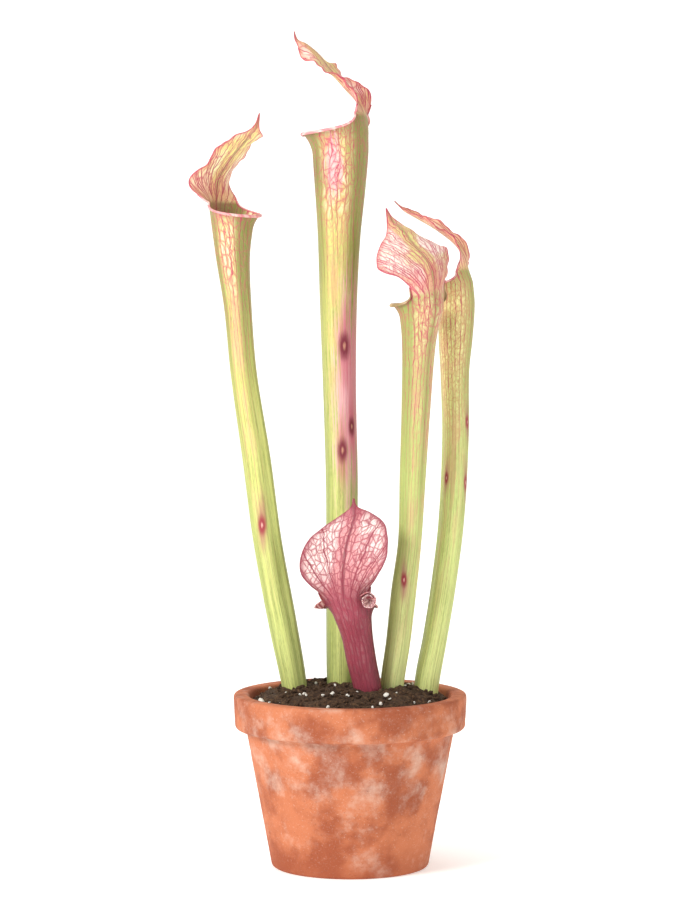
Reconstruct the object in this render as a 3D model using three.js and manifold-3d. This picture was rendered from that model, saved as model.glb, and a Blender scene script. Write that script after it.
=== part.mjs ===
// A trumpet pitcher plant in a plain clay pot. Five pitchers, each one rolled leaf with a mouth and a lid,
// rise from a branched rhizome that lies just under the peat. Millimetres, +Z up, origin at the middle of
// the pot's foot. The front of the plant faces -Y.
import * as THREE from "three";
import { mergeVertices } from "three/addons/utils/BufferGeometryUtils.js";
import Module from "manifold-3d";

const wasm = await Module();
wasm.setup();

// The gap between two pieces that touch on the plant.
const CLEARANCE = 0.35;

// Driving dimensions of the pot and what fills it. bandLip is how far the rim band's lower edge is cut
// back, and cove is the rise of the slant between floor and wall.
const POT = {
  height: 104,
  rimRadius: 70,
  rimHeight: 21,
  bandStep: 3.6,
  footRadius: 47,
  wall: 5.4,
  floor: 7,
  cove: 4,
  edge: 1.6,
  bandLip: 1.2,
  holes: 4,
  holeRadius: 5.5,
  holeCircle: 27,
  holeSides: 20,
  sides: 48,
};

// The peat's surface lies below the rim at its edge, and its mound is full at 1 / rise of the way in.
const SOIL = {
  edgeBelowRim: 5,
  rise: 1.9,
  crown: 108,
  lump: 1.1,
  rings: 7,
  sides: 32,
};

// The rhizome's lobes: x, y and radius of each, at one height, and which lobes a neck of rhizome joins.
const RHIZOME = {
  height: 88,
  neck: 0.8,
  lobes: [
    [-35, 3, 8.5],
    [-20, 9, 8],
    [-5, 16, 9],
    [11, 6, 8.5],
    [26, -1, 8],
    [46, 8, 8.5],
    [11, -13, 8.5],
  ],
  joins: [
    [0, 1],
    [1, 2],
    [2, 3],
    [3, 4],
    [4, 5],
    [3, 6],
  ],
};
const ROOTS = { reach: 52, spread: 20, radius: 1.8, sides: 5, steps: 4 };

// Wall of a pitcher, the bead along its mouth, the low keel down its front, and how high above the peat its
// hollow starts.
const LEAF = { wall: 0.95, bead: 0.7, beadReach: 4, keel: 1.3, keelReach: 2.4, floorAbove: 26 };

// How finely a pitcher is divided: faces across the leaf, the step up its tube as far as the throat, rows
// at these depths in the throat, and rows round the mouth, along the lid and along the mouth's edge.
const COLUMNS = 16;
const TUBE_STEP = 36;
const THROAT = 24;
const THROAT_ROWS = [15, 8, 3.5, 0];
const MOUTH_ROWS = 7;
const LID_ROWS = 12;
const RIM_STEPS = 24;

// A foot has a row of points this far below the peat's crown, and the peat's hole for it ends this far
// above the crown.
const FOOT_DEPTH = 6;
const FOOT_ABOVE = 12;

// Each pitcher's tube is rows of height, x, y and radius, from the rhizome to the front of the mouth.
// Its lid is rows of forward, up, aside, half width and turn, counted from the middle of the mouth. The first
// row is the neck, and turn is how far the leaf has curled, in radians, from its midrib to its margin: the
// tube's is a half circle, and below zero the margins bend back. facing is which way the mouth looks, in
// degrees from +X towards +Y, and tilt raises one side of the lid.
const PITCHERS = [
  {
    name: "pitcher_left",
    facing: -38,
    flare: { out: 1.8, reach: 8 },
    ruffle: { height: 1.2, waves: 3.2, phase: 0.3 },
    tube: [
      [92, -32.5, 3, 6.2],
      [108, -33.5, 3, 7.5],
      [146, -40.5, 2, 8.5],
      [196, -49.5, 0, 8.5],
      [246, -56, -2, 8.4],
      [296, -63.3, -4, 7.8],
      [336, -66.8, -5, 8.2],
      [366, -69.6, -6, 10.2],
      [390, -69.8, -7, 13.2],
    ],
    lid: [
      [-12.8, 10, 0, 10, 0.9],
      [-12.4, 17, 0, 17.5, -0.8],
      [-11, 22, 0, 17.5, -0.6],
      [-6.6, 28, 0, 16, -0.35],
      [0.4, 35.5, 0, 15.5, -0.4],
      [8, 42.5, 0, 13.5, -0.3],
      [13.5, 47.5, 0, 11.5, 0],
      [17.5, 51.5, 0, 4, 0.4],
      [20.7, 60, 0, 1, 0.3],
    ],
  },
  {
    name: "pitcher_tallest",
    facing: 160,
    flare: { out: 5.4, reach: 13 },
    ruffle: { height: 1.6, waves: 3, phase: 0.1 },
    tube: [
      [92, -5.5, 16, 7],
      [108, -5.5, 16, 8.4],
      [166, -5, 16.5, 8.8],
      [226, -4.5, 17, 9.2],
      [286, -5.9, 18, 9.5],
      [336, -6.7, 19, 10.8],
      [376, -6.5, 20, 12.6],
      [406, -6, 20.5, 15.2],
      [427, -5.8, 21, 16.8],
      [439, -6, 21, 17],
    ],
    lid: [
      [-14.3, 12, 0, 12.5, 1.1],
      [-10, 19, 0, 16, -1.5],
      [-4.8, 25.5, 0, 14, -0.7],
      [0.5, 31.5, 0, 15, -0.45],
      [7.4, 39.5, 0, 17, -0.1],
      [14.4, 48, 0, 15, 0.8],
      [21.8, 54, 0, 9.5, 0.9],
      [27.1, 56.5, 0, 3.2, 0.6],
      [29.3, 61.5, 0, 1, 0.3],
    ],
  },
  {
    name: "pitcher_middle",
    facing: 130,
    flare: { out: 3.8, reach: 8 },
    ruffle: { height: 1.8, waves: 2.6, phase: 0.55 },
    tube: [
      [92, 25.5, -2, 6],
      [108, 25, -2, 7],
      [136, 28.8, -2.5, 7.3],
      [166, 32, -4, 7.5],
      [196, 35.5, -5.5, 7],
      [236, 37.2, -8, 7.8],
      [276, 39, -10, 8.6],
      [316, 40.7, -12, 10.2],
      [336, 41, -13, 12.4],
    ],
    lid: [
      [-12.6, 10, 0, 16, 1.2],
      [-12.2, 17, 0, 15.5, 0.9],
      [-9.1, 24, 0, 19.5, 0.5],
      [-2.3, 30, 0, 27, 0.4],
      [7.4, 38, 0, 25, 0.5],
      [16.3, 45.6, 0, 14.5, 0.7],
      [25.7, 51.5, 0, 5, 0.6],
      [31, 60.5, 0, 1, 0.3],
    ],
  },
  {
    name: "pitcher_right",
    facing: 162,
    flare: { out: 1.6, reach: 8 },
    ruffle: { height: 1.5, waves: 3.4, phase: 0.2 },
    tube: [
      [92, 46, 8, 6.2],
      [108, 46.3, 8, 7.2],
      [136, 51.5, 9.5, 6.9],
      [166, 56.5, 12, 6.9],
      [206, 61.5, 15, 7.1],
      [256, 64, 19, 7.5],
      [296, 63.5, 22, 8.3],
      [316, 63.8, 23.5, 10],
      [347, 64.2, 25, 10.8],
    ],
    lid: [
      [-8.9, 9, 0, 10.5, 1],
      [-6, 15.5, 0, 11, -0.2],
      [-2.6, 20, 0, 15, -0.95],
      [2.5, 24.5, 0, 16, -0.95],
      [12.5, 32.2, 0, 15, -0.9],
      [23, 38.5, 0, 11.5, -0.8],
      [32, 45, 0, 4.5, -0.6],
      [38.6, 52, 0, 1, 0.2],
    ],
  },
  {
    name: "pitcher_young_red",
    facing: 80,
    tilt: 0.13,
    flare: { out: 3.2, reach: 7 },
    ruffle: { height: 1, waves: 2.4, phase: 0.4 },
    tube: [
      [92, 11.5, -12.5, 6.5],
      [108, 10.5, -13, 8.3],
      [124, 7, -15, 8.9],
      [141, 4, -18, 9.4],
      [155, 1, -21, 11.5],
    ],
    lid: [
      [-11.5, 10, -3, 15.5, 1.1],
      [-12.5, 18, -3.4, 19, 0],
      [-12, 26, -3.2, 25, -0.25],
      [-10.5, 36, -2.4, 26.5, -0.3],
      [-8, 46, -0.6, 24, -0.25],
      [-5, 53.5, 1.4, 17.5, 0],
      [-2.8, 59.5, 2.2, 9, 0.2],
      [-1.6, 63, 1.4, 3.2, 0.3],
      [0, 68, 1, 1, 0.2],
    ],
  },
];

const COLOURS = {
  clay: 0xb4673f,
  peat: 0x3a2a1d,
  rhizome: 0x6d4a33,
  green: 0xb9c06a,
  red: 0x9c4a4c,
};

const UP = new THREE.Vector3(0, 0, 1);
const clamp = (value, low, high) => Math.min(high, Math.max(low, value));
const mix = (low, high, share) => low + (high - low) * share;

// A smooth curve through rows of [position, value, value, ...]: the values at one position.
function through(rows, at) {
  const last = rows.length - 1;
  let low = 0;
  while (low < last - 1 && at > rows[low + 1][0]) low++;
  const span = rows[low + 1][0] - rows[low][0];
  const share = clamp((at - rows[low][0]) / span, 0, 1);
  const slope = (row, k) => {
    const before = rows[Math.max(row - 1, 0)];
    const after = rows[Math.min(row + 1, last)];
    return ((after[k] - before[k]) / (after[0] - before[0])) * span;
  };
  const values = [];
  for (let k = 1; k < rows[low].length; k++) {
    const [start, end] = [rows[low][k], rows[low + 1][k]];
    const [leave, arrive] = [slope(low, k), slope(low + 1, k)];
    const bend = 3 * (end - start) - 2 * leave - arrive;
    const swing = 2 * (start - end) + leave + arrive;
    values.push(start + share * (leave + share * (bend + share * swing)));
  }
  return values;
}

// The facing direction and the sideways direction of a pitcher, both level.
function levelFrame(pitcher) {
  const angle = THREE.MathUtils.degToRad(pitcher.facing);
  const forward = new THREE.Vector3(Math.cos(angle), Math.sin(angle), 0);
  return { forward, aside: forward.clone().cross(UP) };
}

// The tube's middle and radius at a height.
function tubeAt(pitcher, height) {
  const [x, y, radius] = through(pitcher.tube, height);
  return { middle: new THREE.Vector3(x, y, height), radius };
}

// The leaf's frame across its midrib: side runs along the section, and inward points to the tube's middle.
// tilt, in radians, raises the side.
function sectionFrame(pitcher, along, tilt = 0) {
  const { aside } = levelFrame(pitcher);
  const side = aside.multiplyScalar(Math.cos(tilt)).addScaledVector(UP, Math.sin(tilt));
  return { side, inward: along.clone().cross(side).normalize() };
}

function tubeDirection(pitcher, height) {
  const step = 0.5;
  const low = tubeAt(pitcher, height - step).middle;
  return tubeAt(pitcher, height + step).middle.sub(low).normalize();
}

// The midrib from the back of the mouth to the tip of the lid, as rows for through(): length so far, x, y, z,
// half width and turn.
function lidRows(pitcher) {
  const { forward, aside } = levelFrame(pitcher);
  const top = pitcher.tube.at(-1)[0];
  const { middle, radius } = tubeAt(pitcher, top);
  const { inward } = sectionFrame(pitcher, tubeDirection(pitcher, top - 1));
  const start = middle.clone().addScaledVector(inward, -radius);
  const rows = [[0, ...start.toArray(), Math.PI * radius, Math.PI]];
  let last = start;
  for (const [ahead, up, across, half, turn] of pitcher.lid) {
    const at = middle.clone().addScaledVector(forward, ahead).addScaledVector(aside, across);
    at.addScaledVector(UP, up);
    rows.push([rows.at(-1)[0] + at.distanceTo(last), ...at.toArray(), half, turn]);
    last = at;
  }
  return rows;
}

// One section of the leaf. stage runs from 0 at the rhizome to 1 at the front of the mouth, 2 at the neck and
// 3 at the tip of the lid.
function sectionAt(pitcher, stage) {
  const bottom = pitcher.tube[0][0];
  const top = pitcher.tube.at(-1)[0];
  if (stage <= 1) {
    const height = mix(bottom, top, stage);
    const { middle, radius } = tubeAt(pitcher, height);
    const frame = sectionFrame(pitcher, tubeDirection(pitcher, clamp(height, bottom + 1, top - 1)));
    const rib = middle.clone().addScaledVector(frame.inward, -radius);
    return { rib, ...frame, half: Math.PI * radius, turn: Math.PI };
  }
  const rows = (pitcher.lidRows ??= lidRows(pitcher));
  const neck = rows[1][0];
  const end = rows.at(-1)[0];
  const opened = Math.min(stage - 1, 1);
  const length = stage < 2 ? neck * opened * opened : mix(neck, end, stage - 2);
  const point = (at) => new THREE.Vector3(...through(rows, at).slice(0, 3));
  const reach = 0.4;
  const behind = point(Math.max(length - reach, 0));
  const ribAlong = point(Math.min(length + reach, end)).sub(behind).normalize();
  const along = tubeDirection(pitcher, top - 1).lerp(ribAlong, opened).normalize();
  let [, , , half, turn] = through(rows.slice(1), length);
  if (stage < 2) {
    const share = Math.sin((Math.PI / 2) * opened);
    half = mix(rows[0][4], rows[1][4], share);
    turn = mix(Math.PI, rows[1][5], share);
  }
  const tilt = (pitcher.tilt ?? 0) * opened;
  return { rib: point(length), ...sectionFrame(pitcher, along, tilt), half, turn };
}

// A point of the rolled leaf before its lip turns out. across runs from -1 to 1 between the two margins.
function plainPoint(pitcher, stage, across) {
  const { rib, side, inward, half, turn } = sectionAt(pitcher, stage);
  const safe = Math.abs(turn) < 1e-3 ? 1e-3 : turn;
  const curl = safe * across;
  const point = rib.clone();
  point.addScaledVector(side, (half / safe) * Math.sin(curl));
  point.addScaledVector(inward, (half / safe) * (1 - Math.cos(curl)));
  const outward = side.multiplyScalar(Math.sin(curl)).addScaledVector(inward, -Math.cos(curl));
  let lift = 0;
  const fromMargin = (1 - Math.abs(across)) * half;
  if (stage < 1) {
    const fade = Math.sin(Math.PI * clamp(stage * 1.02, 0, 1)) ** 0.5;
    lift = LEAF.keel * fade * Math.exp(-((fromMargin / LEAF.keelReach) ** 2));
  }
  if (stage > 2) {
    const { height, waves, phase } = pitcher.ruffle;
    const share = stage - 2;
    const wave = Math.sin(2 * Math.PI * (waves * share + phase * (across < 0 ? 1 : 2)));
    lift = height * wave * Math.abs(across) ** 3 * Math.sin(Math.PI * share);
  }
  return { point: point.addScaledVector(outward, lift), outward };
}

// The mouth's edge on both sides, from its front to the neck.
function rimPoints(pitcher) {
  const points = [];
  for (let k = 0; k <= RIM_STEPS; k++) {
    const opened = k / RIM_STEPS;
    for (const across of [-1, 1]) {
      const { point, outward } = plainPoint(pitcher, 1 + opened, across);
      points.push({ point, outward, strength: Math.cos((Math.PI / 2) * opened) ** 0.7 });
    }
  }
  return points;
}

// How near a point is to the mouth's edge, and how strong the lip is there.
function lipAt(pitcher, point) {
  const rim = (pitcher.rim ??= rimPoints(pitcher));
  let best = { distance: Infinity };
  for (const edge of rim) {
    const distance = edge.point.distanceTo(point);
    if (distance < best.distance) best = { distance, outward: edge.outward, strength: edge.strength };
  }
  return best;
}

// A point on the outside of the leaf.
function skinPoint(pitcher, stage, across) {
  const { point } = plainPoint(pitcher, stage, across);
  const { distance, outward, strength } = lipAt(pitcher, point);
  const { out, reach } = pitcher.flare;
  return point.addScaledVector(outward, out * strength * clamp(1 - distance / reach, 0, 1) ** 2);
}

function skinNormal(pitcher, stage, across) {
  const [dStage, dAcross] = [0.004, 0.01];
  const [low, high] = [clamp(stage - dStage, 0, 3), clamp(stage + dStage, 0, 3)];
  const up = skinPoint(pitcher, high, across).sub(skinPoint(pitcher, low, across));
  const [left, right] = [Math.max(across - dAcross, -1), Math.min(across + dAcross, 1)];
  const over = skinPoint(pitcher, stage, right).sub(skinPoint(pitcher, stage, left));
  return over.cross(up).normalize();
}

// The stages at which a pitcher has a row of points.
function leafStages(pitcher) {
  const bottom = pitcher.tube[0][0];
  const top = pitcher.tube.at(-1)[0];
  const floor = SOIL.crown + LEAF.floorAbove;
  const heights = [bottom, SOIL.crown - FOOT_DEPTH, floor];
  const throat = top - THROAT;
  const rungs = Math.max(2, Math.round((throat - floor) / TUBE_STEP));
  for (let k = 1; k <= rungs; k++) heights.push(mix(floor, throat, k / rungs));
  for (const below of THROAT_ROWS) heights.push(top - below);
  const stages = heights.map((height) => (height - bottom) / (top - bottom));
  for (let k = 1; k <= MOUTH_ROWS; k++) stages.push(1 + k / MOUTH_ROWS);
  for (let k = 1; k <= LID_ROWS; k++) stages.push(2 + k / LID_ROWS);
  return stages;
}

// A closed mesh of a pitcher: the outer skin, the inner skin down to the hollow's floor, and the edge between
// them.
function leafGeometry(pitcher) {
  const [bottom, top] = [pitcher.tube[0][0], pitcher.tube.at(-1)[0]];
  const stages = leafStages(pitcher);
  const hair = 1e-6;
  const mouth = stages.findIndex((stage) => stage > 1 - hair);
  const hollowFrom = SOIL.crown + LEAF.floorAbove - hair;
  const floor = stages.findIndex((stage) => mix(bottom, top, stage) > hollowFrom);
  const vertices = [];
  const faces = [];
  const add = (point) => vertices.push(point.toArray()) - 1;
  const outer = [];
  const inner = [];
  stages.forEach((stage, row) => {
    outer.push([]);
    inner.push([]);
    for (let i = 0; i <= COLUMNS; i++) {
      if (row <= mouth && i === COLUMNS) {
        outer[row].push(outer[row][0]);
        inner[row].push(inner[row][0]);
        continue;
      }
      const across = (2 * i) / COLUMNS - 1;
      const point = skinPoint(pitcher, stage, across);
      outer[row].push(add(point));
      if (row < floor) continue;
      const normal = skinNormal(pitcher, stage, across);
      if (row <= mouth && i === 0) normal.add(skinNormal(pitcher, stage, 1)).normalize();
      const { distance, strength } = lipAt(pitcher, point);
      const bead = stage < 2 ? LEAF.bead * strength * clamp(1 - distance / LEAF.beadReach, 0, 1) : 0;
      inner[row].push(add(point.clone().addScaledVector(normal, -(LEAF.wall + bead))));
    }
  });
  // A quad of four vertices in turn, or the triangle that is left where two of them are one.
  const quad = (first, second, third, fourth) => {
    if (first !== second) faces.push([first, second, third]);
    if (third !== fourth) faces.push([first, third, fourth]);
  };
  const skin = (grid, from, flip) => {
    for (let row = from; row < stages.length - 1; row++)
      for (let i = 0; i < COLUMNS; i++) {
        const ring = [grid[row][i], grid[row][i + 1], grid[row + 1][i + 1], grid[row + 1][i]];
        quad(...(flip ? ring.reverse() : ring));
      }
  };
  skin(outer, 0, false);
  skin(inner, floor, true);
  for (let row = mouth; row < stages.length - 1; row++) {
    quad(outer[row][0], outer[row + 1][0], inner[row + 1][0], inner[row][0]);
    quad(outer[row + 1].at(-1), outer[row].at(-1), inner[row].at(-1), inner[row + 1].at(-1));
  }
  const [outerTip, innerTip] = [outer.at(-1), inner.at(-1)];
  for (let i = 0; i < COLUMNS; i++) quad(outerTip[i], outerTip[i + 1], innerTip[i + 1], innerTip[i]);
  const cap = (ring, height, flip) => {
    const hub = add(tubeAt(pitcher, height).middle);
    for (let i = 0; i < COLUMNS; i++) {
      const [here, next] = flip ? [ring[i], ring[i + 1]] : [ring[i + 1], ring[i]];
      faces.push([hub, here, next]);
    }
  };
  cap(outer[0], bottom, false);
  cap(inner[floor], mix(bottom, top, stages[floor]), true);
  return indexed(vertices, faces);
}

// A plain solid of a pitcher's foot, grown by the clearance: what the peat leaves room for.
function footGeometry(pitcher) {
  const bottom = pitcher.tube[0][0];
  const top = pitcher.tube.at(-1)[0];
  const heights = [bottom - 1, SOIL.crown - FOOT_DEPTH, SOIL.crown + FOOT_ABOVE];
  const vertices = [];
  const faces = [];
  for (const height of heights) {
    const stage = Math.max((height - bottom) / (top - bottom), 0);
    for (let i = 0; i < COLUMNS; i++) {
      const across = (2 * i) / COLUMNS - 1;
      const point = skinPoint(pitcher, stage, across);
      point.addScaledVector(plainPoint(pitcher, stage, across).outward, CLEARANCE);
      vertices.push([point.x, point.y, height]);
    }
  }
  heights.slice(1).forEach((_, row) => {
    for (let i = 0; i < COLUMNS; i++) {
      const here = row * COLUMNS + i;
      const next = row * COLUMNS + ((i + 1) % COLUMNS);
      faces.push([here, next, next + COLUMNS], [here, next + COLUMNS, here + COLUMNS]);
    }
  });
  const lastRing = (heights.length - 1) * COLUMNS;
  for (let i = 1; i < COLUMNS - 1; i++) {
    faces.push([0, i + 1, i]);
    faces.push([lastRing, lastRing + i, lastRing + i + 1]);
  }
  return indexed(vertices, faces);
}

// A three.js geometry from vertices and the triangles that join them.
function indexed(vertices, faces) {
  const geometry = new THREE.BufferGeometry();
  geometry.setAttribute("position", new THREE.Float32BufferAttribute(vertices.flat(), 3));
  geometry.setIndex(faces.flat());
  return geometry;
}

// A manifold-3d solid of a closed three.js geometry.
function solid(geometry) {
  const bare = geometry.clone();
  bare.deleteAttribute("normal");
  bare.deleteAttribute("uv");
  const merged = mergeVertices(bare, 1e-3);
  return new wasm.Manifold(
    new wasm.Mesh({
      numProp: 3,
      vertProperties: merged.attributes.position.array,
      triVerts: new Uint32Array(merged.index.array),
    }),
  );
}

// A three.js geometry of a manifold-3d solid.
function geometryOf(made) {
  const { vertProperties, triVerts } = made.getMesh();
  const geometry = new THREE.BufferGeometry();
  geometry.setAttribute("position", new THREE.BufferAttribute(vertProperties, 3));
  geometry.setIndex(new THREE.BufferAttribute(triVerts, 1));
  return geometry;
}

const join = (solids) => solids.reduce((all, next) => all.add(next));

// A turned solid about +Z from a closed outline of [radius, height].
function turned(outline, sides) {
  const points = outline.map(([radius, height]) => new THREE.Vector2(radius, height));
  return new THREE.LatheGeometry(points, sides).rotateX(Math.PI / 2);
}

// The pot's inside radius at a height.
function insideRadius(height) {
  const share = height / POT.height;
  return mix(POT.footRadius, POT.rimRadius - POT.bandStep, share) - POT.wall;
}

// The pot: a tapered wall with a band round its rim, and drainage holes in its floor.
function potGeometry() {
  const { height, rimRadius, rimHeight, bandStep, bandLip, footRadius, floor, cove, edge } = POT;
  const bandFoot = height - rimHeight;
  const below = mix(footRadius, rimRadius - bandStep, bandFoot / height);
  const outline = [
    [0, 0],
    [footRadius - edge, 0],
    [footRadius, edge],
    [below, bandFoot],
    [rimRadius - 2 * edge, bandFoot + bandLip / 3],
    [rimRadius - bandLip, bandFoot + edge],
    [rimRadius, height - edge],
    [rimRadius - edge, height],
    [insideRadius(height) + edge, height],
    [insideRadius(height - edge), height - edge],
    [insideRadius(floor + cove), floor + cove],
    [insideRadius(floor) - cove, floor],
    [0, floor],
  ];
  const body = solid(turned(outline, POT.sides));
  const { holeRadius, holeSides } = POT;
  const drill = new THREE.CylinderGeometry(holeRadius, holeRadius, 3 * floor, holeSides);
  drill.rotateX(Math.PI / 2);
  const drills = [];
  for (let k = 0; k < POT.holes; k++) {
    const angle = (2 * Math.PI * (k + 0.5)) / POT.holes;
    const place = [Math.cos(angle) * POT.holeCircle, Math.sin(angle) * POT.holeCircle, floor / 2];
    drills.push(solid(drill.clone().translate(...place)));
  }
  return geometryOf(body.subtract(join(drills)));
}

// The peat's surface: a low mound with soft lumps.
function soilHeight(x, y) {
  const edge = POT.height - SOIL.edgeBelowRim;
  const share = clamp(1 - Math.hypot(x, y) / insideRadius(edge), 0, 1);
  const mound = mix(edge, SOIL.crown, Math.sin((Math.PI / 2) * Math.min(share * SOIL.rise, 1)));
  const small = Math.sin(x * 0.31 + 1.3) * Math.cos(y * 0.27 - 0.4);
  const lumps = small + 0.6 * Math.sin(x * 0.12 - y * 0.41);
  return mound + SOIL.lump * lumps * Math.min(1, share * 6);
}

// The rhizome with its roots, larger all round by grow.
function rhizomeSolid(grow) {
  const { height, neck, lobes, joins } = RHIZOME;
  const parts = lobes.map(([x, y, radius]) => {
    const ball = new THREE.SphereGeometry(radius + grow, 12, 6).rotateX(Math.PI / 2);
    return solid(ball.translate(x, y, height));
  });
  for (const [from, to] of joins) {
    const [startX, startY, startRadius] = lobes[from];
    const [endX, endY, endRadius] = lobes[to];
    const run = new THREE.Vector3(endX - startX, endY - startY, 0);
    const radii = [endRadius * neck + grow, startRadius * neck + grow];
    const rod = new THREE.CylinderGeometry(...radii, run.length(), 8);
    const rodAxis = new THREE.Vector3(0, 1, 0);
    rod.applyQuaternion(new THREE.Quaternion().setFromUnitVectors(rodAxis, run.clone().normalize()));
    parts.push(solid(rod.translate((startX + endX) / 2, (startY + endY) / 2, height)));
  }
  lobes.forEach(([x, y], number) => parts.push(rootSolid(x, y, number, grow)));
  return join(parts);
}

// One root: it leaves its lobe, bends outward and runs down into the peat.
function rootSolid(x, y, number, grow) {
  const goldenTurn = 2.4;
  const angle = number * goldenTurn;
  const [outX, outY] = [Math.cos(angle) * ROOTS.spread, Math.sin(angle) * ROOTS.spread];
  const drop = ROOTS.reach * (0.75 + 0.25 * Math.cos(number * 1.7));
  const start = RHIZOME.height - 3;
  const path = new THREE.CatmullRomCurve3([
    new THREE.Vector3(x, y, start),
    new THREE.Vector3(x * 0.85 + outX * 0.3, y * 0.85 + outY * 0.3, start - drop * 0.35),
    new THREE.Vector3(x * 0.7 + outX * 0.5, y * 0.7 + outY * 0.5, start - drop * 0.7),
    new THREE.Vector3(x * 0.55 + outX * 0.6, y * 0.55 + outY * 0.6, start - drop - grow),
  ]);
  const ring = [];
  for (let i = 0; i < ROOTS.sides; i++) {
    const turn = (2 * Math.PI * i) / ROOTS.sides;
    ring.push(new THREE.Vector2(Math.cos(turn), Math.sin(turn)).multiplyScalar(ROOTS.radius + grow));
  }
  const made = new THREE.ExtrudeGeometry(new THREE.Shape(ring), { steps: ROOTS.steps, extrudePath: path });
  return solid(made);
}

// The peat fills the pot round the rhizome and the pitchers' feet.
function peatGeometry(keepOut) {
  const floor = POT.floor + CLEARANCE;
  const edge = POT.height - SOIL.edgeBelowRim;
  const inset = (height) => insideRadius(height) - CLEARANCE;
  const outline = [
    [0, floor],
    [inset(floor) - POT.cove, floor],
    [inset(floor + POT.cove), floor + POT.cove],
    [inset(edge), edge],
  ];
  const surface = edge + 1;
  for (let k = 1; k <= SOIL.rings; k++) outline.push([inset(edge) * (1 - k / SOIL.rings), surface]);
  const made = turned(outline, SOIL.sides);
  const place = made.attributes.position;
  for (let i = 0; i < place.count; i++)
    if (place.getZ(i) > (edge + surface) / 2) place.setZ(i, soilHeight(place.getX(i), place.getY(i)));
  return geometryOf(solid(made).subtract(keepOut));
}

// A named mesh with its material.
function piece(name, geometry, colour, roughness) {
  const material = new THREE.MeshStandardMaterial({ color: colour, roughness, metalness: 0 });
  const mesh = new THREE.Mesh(geometry, material);
  mesh.name = name;
  return mesh;
}

const plant = new THREE.Group();
plant.name = "potted_trumpet_pitcher_plant";
const rhizomeGrown = rhizomeSolid(CLEARANCE);
const feet = PITCHERS.map((pitcher) => solid(footGeometry(pitcher)));
plant.add(piece("pot", potGeometry(), COLOURS.clay, 0.85));
plant.add(piece("peat", peatGeometry(join([rhizomeGrown, ...feet])), COLOURS.peat, 1));
plant.add(piece("rhizome", geometryOf(rhizomeSolid(0)), COLOURS.rhizome, 0.9));
for (const pitcher of PITCHERS) {
  const colour = pitcher.name === "pitcher_young_red" ? COLOURS.red : COLOURS.green;
  const leaf = solid(leafGeometry(pitcher)).subtract(rhizomeGrown);
  plant.add(piece(pitcher.name, geometryOf(leaf), colour, 0.45));
}
export default plant;
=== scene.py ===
"""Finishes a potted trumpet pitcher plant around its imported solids: leaves, clay pot, peat and stage."""

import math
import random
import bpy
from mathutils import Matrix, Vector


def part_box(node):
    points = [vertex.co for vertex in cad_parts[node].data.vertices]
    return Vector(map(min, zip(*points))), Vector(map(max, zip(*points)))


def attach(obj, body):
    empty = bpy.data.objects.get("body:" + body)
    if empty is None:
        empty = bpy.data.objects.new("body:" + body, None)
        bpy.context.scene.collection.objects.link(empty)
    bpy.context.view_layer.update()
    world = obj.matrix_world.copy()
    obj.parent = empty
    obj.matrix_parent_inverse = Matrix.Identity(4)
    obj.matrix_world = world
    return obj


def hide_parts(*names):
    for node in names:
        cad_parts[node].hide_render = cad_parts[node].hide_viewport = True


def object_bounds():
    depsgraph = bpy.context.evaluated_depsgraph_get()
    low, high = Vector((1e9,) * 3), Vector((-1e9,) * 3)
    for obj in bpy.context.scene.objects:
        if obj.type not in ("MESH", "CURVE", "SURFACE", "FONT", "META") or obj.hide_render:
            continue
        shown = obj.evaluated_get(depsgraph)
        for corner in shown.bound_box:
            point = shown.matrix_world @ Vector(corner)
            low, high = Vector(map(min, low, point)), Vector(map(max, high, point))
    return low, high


bl_info = {
    "name": "Potted Trumpet Pitcher Plant",
    "version": (1, 0, 0),
    "blender": (4, 5, 0),
    "location": "View3D > Sidebar > Pitcher Plant",
    "description": "Finishes a potted trumpet pitcher plant around its packed solids",
    "category": "Add Mesh",
}

import bmesh
import bpy
import numpy as np
from mathutils import Matrix, Vector, noise

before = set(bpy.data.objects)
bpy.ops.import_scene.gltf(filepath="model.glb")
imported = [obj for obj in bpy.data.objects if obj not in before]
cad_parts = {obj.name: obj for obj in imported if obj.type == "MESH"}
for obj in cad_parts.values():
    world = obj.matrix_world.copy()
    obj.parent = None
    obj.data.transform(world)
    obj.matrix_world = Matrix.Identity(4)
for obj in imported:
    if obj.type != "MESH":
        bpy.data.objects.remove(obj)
cad_box = [list(corner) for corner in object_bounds()]

MM = 0.001
BODY = "root"
POT_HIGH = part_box("pot")[1]
POT_HEIGHT = POT_HIGH.z
POT_RADIUS = POT_HIGH.x
PEAT_CROWN = 107.6 * MM
PEAT_EDGE = 99 * MM


def srgb(red, green, blue):
    """A linear colour from a colour in 0 to 255."""

    def linear(value):
        value /= 255
        return value / 12.92 if value <= 0.04045 else ((value + 0.055) / 1.055) ** 2.4

    return linear(red), linear(green), linear(blue)


def length_property(name, description, default):
    kind = {"subtype": "DISTANCE", "unit": "LENGTH"}
    return bpy.props.FloatProperty(name=name, description=description, default=default, **kind)


def colour_property(name, description, default):
    kind = {"subtype": "COLOR", "size": 3, "min": 0, "max": 1}
    return bpy.props.FloatVectorProperty(name=name, description=description, default=srgb(*default), **kind)


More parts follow.
